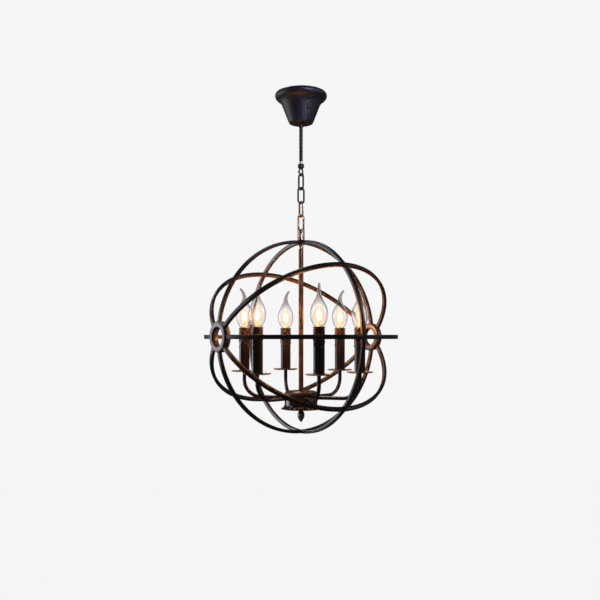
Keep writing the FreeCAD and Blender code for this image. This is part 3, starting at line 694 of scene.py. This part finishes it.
def rolled_bar(name, start, end):
    """A bar rolled about the Z axis from one angle to another, in degrees from the X axis."""
    let_go()
    bpy.ops.mesh.primitive_plane_add(size=1, location=(bar_middle_r, 0, 0),
                                     rotation=(math.radians(90), 0, 0))
    bar = bpy.context.object
    bar.name = name
    bar.scale = (BAR_THICK, BAR_WIDTH, 1)
    bpy.ops.object.transform_apply(location=True, rotation=True, scale=True)
    work_on(bar)
    bpy.ops.mesh.bevel(offset=BAR_ROUND, segments=3, affect="VERTICES")
    place(bar, turn=(0, 0, start))
    work_on(bar)
    bpy.ops.mesh.spin(steps=round((end - start) / DEGREES_A_STEP), angle=math.radians(start - end),
                      center=(0, 0, 0), axis=(0, 0, 1))
    bpy.ops.mesh.select_all(action="SELECT")
    bpy.ops.mesh.remove_doubles(threshold=1e-6)
    bpy.ops.mesh.normals_make_consistent(inside=False)
    let_go()
    return bar


print("bar, mm:", round(BAR_WIDTH / MM, 2), "x", round(BAR_THICK / MM, 2))
print("hoop radius, mm:", round(HOOP_R / MM, 1))

# %% Four hoops in quarters, one whole
TILTS = {"meridian_band": 90.0, "equator_band": 0.0, "tilted_band_a": -45.0, "tilted_band_b": 45.0}

quarter = rolled_bar("quarter", hub_angle, 90 - cross_angle)
half = [quarter, place(copied(quarter, "quarter_2"), turn=(0, 180, 0))]
hub_half = joined(half, "half_hoop")
whole = joined([hub_half, place(copied(hub_half, "half_2"), turn=(180, 0, 0))], "hoop")
for node, tilt in TILTS.items():
    ring = place(copied(whole, node.replace("band", "hoop")), at=ORB_CENTRE, turn=(tilt, 0, 0))
    settle(smooth(ring), "orb", "forged_bronze", HOOP_BRONZE, node)
let_go()
bpy.data.objects.remove(whole)
cross = joined([rolled_bar("cross_hoop", 0, 180), rolled_bar("cross_half", 180, 360)], "cross_hoop")
place(cross, at=ORB_CENTRE, turn=(0, 90, 0))
settle(smooth(cross), "orb", "forged_bronze", HOOP_BRONZE, "cross_band")
print("hoops:", len(TILTS) + 1, "faces in one:", len(cross.data.polygons))

# %% [markdown]
# ## The hub rings
# The hub rings are short slices of thick pipe, turned flat on their faces. The outline is a
# rectangle whose corners are rounded before it is spun, which is how the lathe hand would break the
# edges too.

# %% Hub rings
HUB_BORE_R = 18.5
HUB_ROUND = 1.3
HUB_CHAMFER = 0.4 * HUB_ROUND


def hub(name, side, node):
    """One hub ring, on the left (side -1) or the right (side 1)."""
    outer = HUB_R / MM
    length = HUB_LENGTH / MM
    points = [(HUB_BORE_R, HUB_ROUND), (HUB_BORE_R + HUB_CHAMFER, HUB_CHAMFER),
              (HUB_BORE_R + HUB_ROUND, 0), (outer - HUB_ROUND, 0),
              (outer - HUB_CHAMFER, HUB_CHAMFER), (outer, HUB_ROUND), (outer, length - HUB_ROUND),
              (outer - HUB_CHAMFER, length - HUB_CHAMFER), (outer - HUB_ROUND, length),
              (HUB_BORE_R + HUB_ROUND, length), (HUB_BORE_R + HUB_CHAMFER, length - HUB_CHAMFER),
              (HUB_BORE_R, length - HUB_ROUND), (HUB_BORE_R, HUB_ROUND)]
    piece = spun(name, points, steps=72)
    inner_x = HOOP_R - HUB_LENGTH
    place(piece, at=ORB_CENTRE + Vector((side * inner_x, 0, 0)), turn=(0, 90 * side, 0))
    return settle(smooth(piece, 40), "orb", "forged_bronze", HUB_BRONZE, node)


hub("left_hub", -1, "left_hub_ring")
hub("right_hub", 1, "right_hub_ring")
print("hub rings", round(HUB_R / MM, 1), "mm radius")

# %% [markdown]
# ## Drip pans
# A drip pan is spun from thin brass sheet. Its rim is rolled over a wire, so it ends in a round
# bead, and a low step near the sleeve stiffens it. The bead is only one and a half millimetres
# thick, but it is what shines in the photo.

# %% Drip pans
pan_low, pan_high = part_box("drip_pan_1")
PAN_R = (pan_high.x - pan_low.x) / 2 / MM
PAN_SHEET = 0.9
PAN_HOLE_R = 3.2
BEAD = 0.75

bead_r = PAN_R - BEAD
rim_z = (pan_high.z - pan_low.z) / MM - 2 * BEAD
bead = [(bead_r + BEAD * math.cos(math.radians(a)), rim_z + BEAD + BEAD * math.sin(math.radians(a)))
        for a in (-60, -15, 30, 75, 120, 165, 210)]
pan_line = [(PAN_HOLE_R, 0), (14, 0), (15.5, 0.5), (PAN_R - 4.2, 0.35), (PAN_R - 2.2, 0.9)]
pan_line += bead
pan_line += [(PAN_R - 2.6, 0.9 + PAN_SHEET), (PAN_R - 4.4, 0.35 + PAN_SHEET),
             (15.3, 0.5 + PAN_SHEET), (13.8, PAN_SHEET), (PAN_HOLE_R, PAN_SHEET), (PAN_HOLE_R, 0)]
pan = spun("pan", pan_line, steps=64)
smooth(pan, 50)
for i, node in enumerate(numbered("drip_pan"), 1):
    seat = middle(node)
    twin = place(copied(pan, f"pan_{i}"), at=(seat.x, seat.y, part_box(node)[0].z))
    settle(twin, "orb", "antique_brass", PAN_BRASS, node)
bpy.data.objects.remove(pan)
print("pans: radius", round(PAN_R, 1), "mm")

# %% [markdown]
# ## Holders
# Above each sleeve stands the collar of the lampholder, with three grooves turned into it. The
# outline is drawn from the tail that screws into the arm, up the outside, over the top and down
# into the socket.

# %% Lampholders
holder_low, holder_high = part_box("lampholder_1")
HOLDER_R = (holder_high.x - holder_low.x) / 2 / MM
HOLDER_SHOW = 17.0
HOLDER_BODY = 24.0
GROOVES = 3
GROOVE = 1.1
GROOVE_FLAT = 0.4
HOLDER_EDGE = 0.9
FLOOR = 1.0
TAIL_R = 2.5
SOCKET_R = 6.9
HOLDER_TURN = 41
tail_end = (holder_low.z - holder_high.z) / MM
sleeve_low, sleeve_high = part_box("candle_sleeve_1")
SLEEVE_R = (sleeve_high.x - sleeve_low.x) / 2 / MM
SLEEVE_WALL = 1.0
body_r = SLEEVE_R - SLEEVE_WALL - 0.3

holder_line = [(0, tail_end), (TAIL_R, tail_end), (TAIL_R, -HOLDER_BODY), (body_r, -HOLDER_BODY),
               (body_r, -HOLDER_SHOW), (HOLDER_R - 0.5, -HOLDER_SHOW),
               (HOLDER_R, 0.6 - HOLDER_SHOW)]
for i in range(GROOVES, 0, -1):
    groove_z = -HOLDER_SHOW * i / (GROOVES + 1)
    holder_line += [(HOLDER_R, groove_z - GROOVE), (HOLDER_R - GROOVE, groove_z - GROOVE_FLAT),
                    (HOLDER_R - GROOVE, groove_z + GROOVE_FLAT), (HOLDER_R, groove_z + GROOVE)]
holder_line += [(HOLDER_R, -HOLDER_EDGE), (HOLDER_R - HOLDER_EDGE, 0), (SOCKET_R, 0),
                (SOCKET_R, FLOOR - HOLDER_BODY), (0, FLOOR - HOLDER_BODY)]
holder = smooth(spun("holder", holder_line, steps=56), 40)
for i, node in enumerate(numbered("lampholder"), 1):
    seat = middle(node)
    twin = copied(holder, f"holder_{i}")
    place(twin, at=(seat.x, seat.y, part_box(node)[1].z), turn=(0, 0, HOLDER_TURN * i))
    settle(twin, "orb", "candle_black", HOLDER_PATINA_AND_GLINTS, node)
bpy.data.objects.remove(holder)
print("holders:", GROOVES, "grooves, showing", HOLDER_SHOW, "mm")

# %% [markdown]
# ## Candle sleeves with wax
# The sleeves are moulded to look like candles: near the top, wax has run down in rivulets that end
# in beads. Drops could be stuck on as separate shapes, but they would meet the tube with hard
# creases. Here the tube has enough faces to swell: a vertex group says how much wax lies at each
# point, and a Displace modifier pushes the surface out by that much.

# %% Sleeve with rivulets
SLEEVE_LENGTH = (holder_high.z - sleeve_low.z) / MM - HOLDER_SHOW - 0.2
SLEEVE_TURN = 67
WAX_FROM = 26
WAX_THICK = 1.4
SKIRT = 4.5
SKIRT_WAVE = 1.5
SKIRT_FADE = 1.8
SKIRT_THICK = 0.55
# angle round the sleeve in degrees, length in mm, thickness as a share of WAX_THICK
RIVULETS = ((8, 16, 1.0), (55, 9, 0.8), (98, 24, 1.0), (150, 11, 0.9), (196, 19, 0.9),
            (240, 8, 0.7), (283, 27, 1.0), (325, 13, 0.85))
RIVULET_HALF = 12.0
RUN_SHARE = 0.62
BEAD_WIDER = 0.5
BEAD_START = 2.5
BEAD_HALF = 3.2


def wax_at(angle, below_top):
    """How thick the wax lies, 0 to 1, at an angle in degrees and a depth under the top in mm."""
    skirt_end = SKIRT + SKIRT_WAVE * math.sin(math.radians(3 * angle))
    thick = max(0.0, min(1.0, (skirt_end - below_top) / SKIRT_FADE)) * SKIRT_THICK
    for middle_angle, run, weight in RIVULETS:
        off = abs((angle - middle_angle + 180) % 360 - 180)
        bead_share = max(0.0, 1 - ((below_top - run + BEAD_START) / BEAD_HALF) ** 2)
        half_width = RIVULET_HALF * (RUN_SHARE + BEAD_WIDER * bead_share)
        across = max(0.0, 1 - (off / half_width) ** 2)
        along = 1.0 if below_top < run - BEAD_START else bead_share
        swell = RUN_SHARE + (1 - RUN_SHARE) * bead_share
        thick = max(thick, weight * swell * math.sqrt(across) * math.sqrt(along))
    return thick


sleeve_line = [(SLEEVE_R, 0), (SLEEVE_R, SLEEVE_LENGTH - 0.5), (SLEEVE_R - 0.3, SLEEVE_LENGTH),
               (SLEEVE_R - SLEEVE_WALL, SLEEVE_LENGTH), (SLEEVE_R - SLEEVE_WALL, 0), (SLEEVE_R, 0)]
sleeve = spun("sleeve", sleeve_line, steps=96)
work_on(sleeve)
for height in range(WAX_FROM, round(SLEEVE_LENGTH) - 1):
    bpy.ops.mesh.select_all(action="SELECT")
    bpy.ops.mesh.bisect(plane_co=(0, 0, height * MM), plane_no=(0, 0, 1))
let_go()
wax = sleeve.vertex_groups.new(name="wax")
for vertex in sleeve.data.vertices:
    x, y, z = vertex.co / MM
    if math.hypot(x, y) > SLEEVE_R - 0.4:
        thick = wax_at(math.degrees(math.atan2(y, x)), SLEEVE_LENGTH - z)
        wax.add([vertex.index], thick, "REPLACE")
with_modifier(sleeve, "DISPLACE", strength=WAX_THICK * MM, mid_level=0.0, vertex_group="wax")
smooth(sleeve, 60)
for i, node in enumerate(numbered("candle_sleeve"), 1):
    seat = middle(node)
    twin = copied(sleeve, f"sleeve_{i}")
    place(twin, at=(seat.x, seat.y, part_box(node)[0].z), turn=(0, 0, SLEEVE_TURN * i))
    settle(twin, "orb", "candle_black", CANDLE_BLACK, node)
bpy.data.objects.remove(sleeve)
print("sleeve faces:", len(twin.data.polygons))

# %% [markdown]
# ## Bulbs
# Each bulb is a blown glass flame whose tip was drawn out and bent over while hot. The glass starts
# as a circle at the holder. Each extrusion adds one ring of the outline, and the last rings are
# turned a little at a time to bend the tip. Solidify gives the glass its wall, and a subdivision
# surface rounds it.

# %% Glass flame
HOLDER_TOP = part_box("lampholder_1")[1].z
GLASS_WALL = 0.55
GLASS_LINE = ((6.7, 0.5), (8.8, 0.9), (10.9, 2.6), (14.1, 7.8), (16.4, 15.0), (17.5, 24.0),
              (17.0, 31.0), (15.2, 37.5), (12.5, 43.5), (9.5, 49.0), (6.8, 54.0), (5.2, 58.2),
              (4.5, 62.0))
GLASS_SIDES = 28
TIP_STEPS = 5
TIP_END_R = 2.2
TIP_RISE = 20.0
TIP_REACH = 9.0
TIP_TAPER = 0.75
TIP_CAP = 0.5
TIP_CLOSE = 0.4


def next_ring(step, centre, factor):
    """Extrude the selected ring by a step and scale it about its new centre."""
    bpy.ops.mesh.extrude_region_move(TRANSFORM_OT_translate={"value": step})
    bpy.ops.transform.resize(value=(factor, factor, factor), center_override=centre)


let_go()
bpy.ops.mesh.primitive_circle_add(vertices=GLASS_SIDES, radius=GLASS_LINE[0][0] * MM,
                                  location=(0, 0, GLASS_LINE[0][1] * MM))
glass = bpy.context.object
glass.name = "glass"
bpy.ops.object.transform_apply(location=True, rotation=True, scale=True)
work_on(glass, "EDGE")
for (r_here, z_here), (r_next, z_next) in zip(GLASS_LINE, GLASS_LINE[1:]):
    next_ring((0, 0, (z_next - z_here) * MM), (0, 0, z_next * MM), r_next / r_here)

sweep = 2 * math.atan2(TIP_REACH, TIP_RISE)
bend_r = TIP_RISE / math.sin(sweep)
neck_r, neck_z = GLASS_LINE[-1]
tip_r = neck_r
for i in range(1, TIP_STEPS + 1):
    before = sweep * (i - 1) / TIP_STEPS
    after = sweep * i / TIP_STEPS
    start = Vector((bend_r * (1 - math.cos(before)), 0, neck_z + bend_r * math.sin(before))) * MM
    end = Vector((bend_r * (1 - math.cos(after)), 0, neck_z + bend_r * math.sin(after))) * MM
    bpy.ops.mesh.extrude_region_move(TRANSFORM_OT_translate={"value": end - start})
    bpy.ops.transform.rotate(value=-(after - before), orient_axis="Y", center_override=end)
    r_next = neck_r + (TIP_END_R - neck_r) * (i / TIP_STEPS) ** TIP_TAPER
    factor = r_next / tip_r
    bpy.ops.transform.resize(value=(factor, factor, factor), center_override=end)
    tip_r = r_next
cap = (end - start).normalized() * TIP_CAP * MM
next_ring(cap, end + cap, TIP_CLOSE)
bpy.ops.mesh.edge_face_add()
let_go()
with_modifier(glass, "SOLIDIFY", thickness=GLASS_WALL * MM, offset=-1.0)
with_modifier(glass, "SUBSURF", levels=2, render_levels=2)
work_on(glass)
bpy.ops.mesh.normals_make_consistent(inside=False)
smooth(glass, 80)
print("glass faces:", len(glass.data.polygons))


# %% [markdown]
# ## Glass, wire and glow
# Clear glass against white is seen only by its rim, where the wall is looked through edgewise. Its
# warm grey there is painted shade: Layer Weight finds that rim and darkens the glass colour. The
# neck and tip are solid glass, and a painted shade darkens the glass colour with height towards
# them. The lit filament is far brighter than the picture can hold, so it spreads into a glow with
# no edge. Three
# shells stand for it: a white core, a thin upright streak and a peach halo, all see-through where
# the eye looks along their skin.

# %% Clear glass
# Painted shade: the glass colour turns grey where the wall is seen edgewise and darker towards the
# tip.
GLASS_CLEAR = (0.99, 0.975, 0.965, 1)
GLASS_RIM_SHADE = (0.28, 0.23, 0.22, 1)
GLASS_TIP_SHADE = (0.62, 0.56, 0.55, 1)
TIP_SHADE_FROM, TIP_SHADE_TO = 34, 64


def clear_glass():
    """Glass with painted shade: grey at its rim and darker towards the tip."""
    made = bpy.data.materials.new("clear_glass")
    made.use_nodes = True
    nodes, links = made.node_tree.nodes, made.node_tree.links
    shader = nodes["Principled BSDF"]
    shader.inputs["Transmission Weight"].default_value = 1.0
    shader.inputs["Roughness"].default_value = 0.02
    shader.inputs["IOR"].default_value = 1.42
    rim = nodes.new("ShaderNodeLayerWeight")
    rim.inputs["Blend"].default_value = 0.5
    tint = nodes.new("ShaderNodeValToRGB")
    tint.color_ramp.elements[0].position = 0.35
    tint.color_ramp.elements[0].color = GLASS_CLEAR
    tint.color_ramp.elements[1].position = 0.92
    tint.color_ramp.elements[1].color = GLASS_RIM_SHADE
    where = nodes.new("ShaderNodeTexCoord")
    split = nodes.new("ShaderNodeSeparateXYZ")
    # Painted shade: the glass colour darkens with height towards the tip.
    thick = nodes.new("ShaderNodeMapRange")
    thick.interpolation_type = "SMOOTHSTEP"
    thick.inputs["From Min"].default_value = HOLDER_TOP + TIP_SHADE_FROM * MM
    thick.inputs["From Max"].default_value = HOLDER_TOP + TIP_SHADE_TO * MM
    shade = nodes.new("ShaderNodeMix")
    shade.data_type = "RGBA"
    shade.blend_type = "MULTIPLY"
    shade.inputs["B"].default_value = GLASS_TIP_SHADE
    links.new(rim.outputs["Facing"], tint.inputs["Fac"])
    links.new(where.outputs["Object"], split.inputs["Vector"])
    links.new(split.outputs["Z"], thick.inputs["Value"])
    links.new(thick.outputs["Result"], shade.inputs["Factor"])
    links.new(tint.outputs["Color"], shade.inputs["A"])
    links.new(shade.outputs["Result"], shader.inputs["Base Color"])
    return made


def glow(name, colour, strength, cover, falloff):
    """See-through light: strongest where the shell is looked at straight, gone at its rim."""
    made = bpy.data.materials.new(name)
    made.use_nodes = True
    nodes, links = made.node_tree.nodes, made.node_tree.links
    shader = nodes["Principled BSDF"]
    shader.inputs["Base Color"].default_value = (0, 0, 0, 1)
    shader.inputs["Specular IOR Level"].default_value = 0.0
    shader.inputs["Roughness"].default_value = 1.0
    shader.inputs["Emission Color"].default_value = colour
    shader.inputs["Emission Strength"].default_value = strength
    rim = nodes.new("ShaderNodeLayerWeight")
    rim.inputs["Blend"].default_value = 0.5
    inner = nodes.new("ShaderNodeMath")
    inner.operation = "SUBTRACT"
    inner.inputs[0].default_value = 1.0
    curve = nodes.new("ShaderNodeMath")
    curve.operation = "POWER"
    curve.inputs[1].default_value = falloff
    share = nodes.new("ShaderNodeMath")
    share.operation = "MULTIPLY"
    share.inputs[1].default_value = cover
    links.new(rim.outputs["Facing"], inner.inputs[1])
    links.new(inner.outputs[0], curve.inputs[0])
    links.new(curve.outputs[0], share.inputs[0])
    links.new(share.outputs[0], shader.inputs["Alpha"])
    return made


GLASS = clear_glass()
CORE = glow("glow_core", rgb(1.0, 0.95, 0.85), strength=2.4, cover=1.0, falloff=2.2)
STREAK = glow("glow_streak", rgb(1.0, 0.88, 0.70), strength=1.5, cover=0.8, falloff=1.2)
HALO = glow("glow_halo", rgb(1.0, 0.64, 0.42), strength=1.05, cover=0.62, falloff=1.3)
FILAMENT = glow("hot_filament", rgb(1.0, 0.66, 0.30), strength=12.0, cover=1.0, falloff=0.0)
CLEAR_STEM = finish("glass_stem", rgb(0.62, 0.58, 0.55), rgb(0.72, 0.68, 0.64), rough=(0.1, 0.2),
                    patch=200)
LEAD_WIRE = finish("lead_wire", rgb(0.50, 0.42, 0.34), rgb(0.60, 0.52, 0.44), metal=1.0,
                   rough=(0.3, 0.4), patch=300)
print("glass and glow ready")

# %% Glow shells
PINCH_LEVELS = (0.62, 0.74, 0.86)


def shell(name, radius, low, high, pinch):
    """A glow shell: a sphere drawn out into a flame between two heights in mm."""
    let_go()
    bpy.ops.mesh.primitive_uv_sphere_add(segments=32, ring_count=20, radius=1.0)
    piece = bpy.context.object
    piece.name = name
    piece.scale = (radius * MM, radius * MM, (high - low) / 2 * MM)
    place(piece, at=(0, 0, (low + high) / 2 * MM))
    work_on(piece)
    for share in PINCH_LEVELS:
        level = (low + (high - low) * share) * MM
        pick(piece, "VERT", lambda v: v.co.z > level)
        bpy.ops.transform.resize(value=(pinch, pinch, 1), center_override=(0, 0, level))
    let_go()
    return smooth(piece, 180)


core = shell("core", radius=6.6, low=11.0, high=34.0, pinch=0.88)
streak = shell("streak", radius=2.6, low=1.5, high=46.0, pinch=0.85)
halo = shell("halo", radius=13.0, low=1.5, high=42.0, pinch=0.86)
print("glow shells:", [o.name for o in (core, streak, halo)])

# %% [markdown]
# Inside the glass, a loop of filament hangs between two wires on a glass stem, and a brass screw
# cap holds the bulb below. The loop is a torus stretched and cut off at its foot, the wires are two
# thin cylinders, and stem and cap are turned. They show as a glint at most, so they have few faces.

# %% Filament, wires, stem and screw cap
LOOP_R, LOOP_WIRE_R, LOOP_Z, LOOP_FOOT, LOOP_STRETCH = 4.2, 0.28, 26, 24, 1.5
LEAD_R, LEAD_LENGTH, LEAD_X, LEAD_Z, LEAD_LEAN = 0.22, 14, 3.1, 18, 9
THREADS, PITCH, CREST_R, ROOT_R = 5, 2.8, 6.7, 6.3

let_go()
bpy.ops.mesh.primitive_torus_add(major_radius=LOOP_R * MM, minor_radius=LOOP_WIRE_R * MM,
                                 major_segments=28, minor_segments=8,
                                 location=(0, 0, LOOP_Z * MM), rotation=(math.radians(90), 0, 0))
filament = bpy.context.object
filament.name = "filament"
filament.scale = (1.0, LOOP_STRETCH, 1.0)
place(filament, at=filament.location, turn=(90, 0, 0))
work_on(filament)
bpy.ops.mesh.bisect(plane_co=(0, 0, LOOP_FOOT * MM), plane_no=(0, 0, 1), clear_inner=True)
smooth(filament, 80)

leads = []
for side_x in (-1, 1):
    let_go()
    bpy.ops.mesh.primitive_cylinder_add(vertices=10, radius=LEAD_R * MM, depth=LEAD_LENGTH * MM,
                                        location=(side_x * LEAD_X * MM, 0, LEAD_Z * MM))
    lead = bpy.context.object
    place(lead, at=lead.location, turn=(0, LEAD_LEAN * side_x, 0))
    leads.append(lead)
wires = smooth(joined(leads, "wires"), 60)
stem_line = [(5.4, 0.6), (4.0, 3.0), (2.9, 8.0), (2.6, 12.5), (1.6, 14.2), (0, 14.6)]
stem_glass = smooth(spun("stem_glass", stem_line, 28), 60)
cap_line = [(6.5, 0.2), (CREST_R, -1.0)]
for thread in range(THREADS):
    top = -2.0 - PITCH * thread
    cap_line += [(ROOT_R, top), (CREST_R, top - 0.9), (ROOT_R, top - 1.8)]
cap_line += [(5.6, -16.2), (2.4, -17.2), (2.4, -18.8), (0, -18.8)]
screw_cap = smooth(spun("screw_cap", cap_line, 32), 50)
print("parts inside the glass:", [o.name for o in (filament, wires, stem_glass, screw_cap)])

# %% [markdown]
# The parts of a bulb are put together six times. The CAD bulb says which way its tip bends: its
# highest point lies off its axis on that side. A small warm lamp sits inside each glow, because the
# glow shells only look bright and light nothing.

# %% Six bulbs and their light
BULB_LIGHT = 0.9
LIGHT_R = 0.009
LIGHT_UP = 22 * MM
WARM = (1.0, 0.39, 0.11)
BULB_PARTS = ((glass, GLASS, "bulb_glass"), (core, CORE, "bulb_glass"),
              (streak, STREAK, "bulb_glass"), (halo, HALO, "bulb_glass"),
              (filament, FILAMENT, "bulb_glass"),
              (wires, LEAD_WIRE, "zinc_steel"), (stem_glass, CLEAR_STEM, "bulb_glass"),
              (screw_cap, PALE_BRASS, "bright_brass"))


def tip_angle(node, centre):
    """Which way a CAD bulb's tip bends, in degrees."""
    highest = max(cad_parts[node].data.vertices, key=lambda v: v.co.z).co
    return math.degrees(math.atan2(highest.y - centre.y, highest.x - centre.x))


for i, node in enumerate(numbered("bulb"), 1):
    seat = middle(f"lampholder_{i}")
    turn = tip_angle(node, seat)
    at = Vector((seat.x, seat.y, HOLDER_TOP))
    for model, material, slot in BULB_PARTS:
        twin = place(copied(model, f"bulb_{model.name}_{i}"), at=at, turn=(0, 0, turn))
        settle(twin, node, slot, material)
        if model is not screw_cap:
            twin.visible_shadow = False
            twin.visible_diffuse = False
        if model is glass:
            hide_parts(node)
    data = bpy.data.lights.new(f"bulb_light_{i}", "POINT")
    data.energy = BULB_LIGHT
    data.color = WARM
    data.shadow_soft_size = LIGHT_R
    lamp = bpy.data.objects.new(f"bulb_light_{i}", data)
    bpy.context.scene.collection.objects.link(lamp)
    lamp.location = at + Vector((0, 0, LIGHT_UP))
    lamp.visible_camera = False
    lamp.visible_transmission = False
    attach(lamp, "orb")
    print(node, "tip turned to", round(turn))
for model, material, slot in BULB_PARTS:
    bpy.data.objects.remove(model)

# %% [markdown]
# ## The finial
# The finial is a bud with twisted flutes. A circle of vertices is extruded ring by ring up the bud,
# and each ring is turned a little further than the last. Every second vertex is pulled in towards
# the axis, so the flutes wind round.

# %% Finial
finial_low, finial_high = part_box("finial")
finial_seat = middle("finial")
FINIAL_H = (finial_high.z - finial_low.z) / MM
FINIAL_R = (finial_high.x - finial_low.x) / 2 / MM
BUD_LINE = ((4.3, 0.0), (4.4, -1.4), (3.4, -2.4), (4.0, -3.6), (6.6, -6.4), (8.2, -10.0),
            (8.5, -13.5), (7.6, -17.0), (5.6, -20.8), (3.4, -24.0), (1.6, -26.4), (0.5, -27.0))
FLUTES = 10
TWIST = 9.0
TWIST_FROM = 3.5
FLUTE_FROM = 3.7
FLUTE_IN = 0.84

let_go()
bpy.ops.mesh.primitive_circle_add(vertices=2 * FLUTES, radius=BUD_LINE[0][0] * MM)
bud = bpy.context.object
bud.name = "bud"
work_on(bud, "EDGE")
for (r_here, z_here), (r_next, z_next) in zip(BUD_LINE, BUD_LINE[1:]):
    centre = (0, 0, z_next * MM)
    next_ring((0, 0, (z_next - z_here) * MM), centre, r_next / r_here)
    if z_next < -TWIST_FROM:
        bpy.ops.transform.rotate(value=math.radians(TWIST), orient_axis="Z", center_override=centre)
bpy.ops.mesh.edge_face_add()
let_go()
for vertex in bud.data.vertices:
    depth = -vertex.co.z / MM
    if vertex.index % 2 and FLUTE_FROM < depth < FINIAL_H - 0.5:
        vertex.co.x *= FLUTE_IN
        vertex.co.y *= FLUTE_IN
with_modifier(bud, "SUBSURF", levels=2, render_levels=2)
work_on(bud)
bpy.ops.mesh.normals_make_consistent(inside=False)
place(smooth(bud, 60), at=(finial_seat.x, finial_seat.y, finial_high.z))
settle(bud, "orb", "antique_brass", ANTIQUE_BRASS, "finial")
bud.name = "finial_bud"
print("finial", round(FINIAL_H, 1), "mm long,", round(FINIAL_R, 1), "mm radius")

# %% [markdown]
# ## The last look
# The dressed lamp has to stay inside the CAD model's box.

# %% Sizes and finish
let_go()
low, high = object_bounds()
print("dressed box, mm:", [round(v / MM, 1) for v in low], [round(v / MM, 1) for v in high])
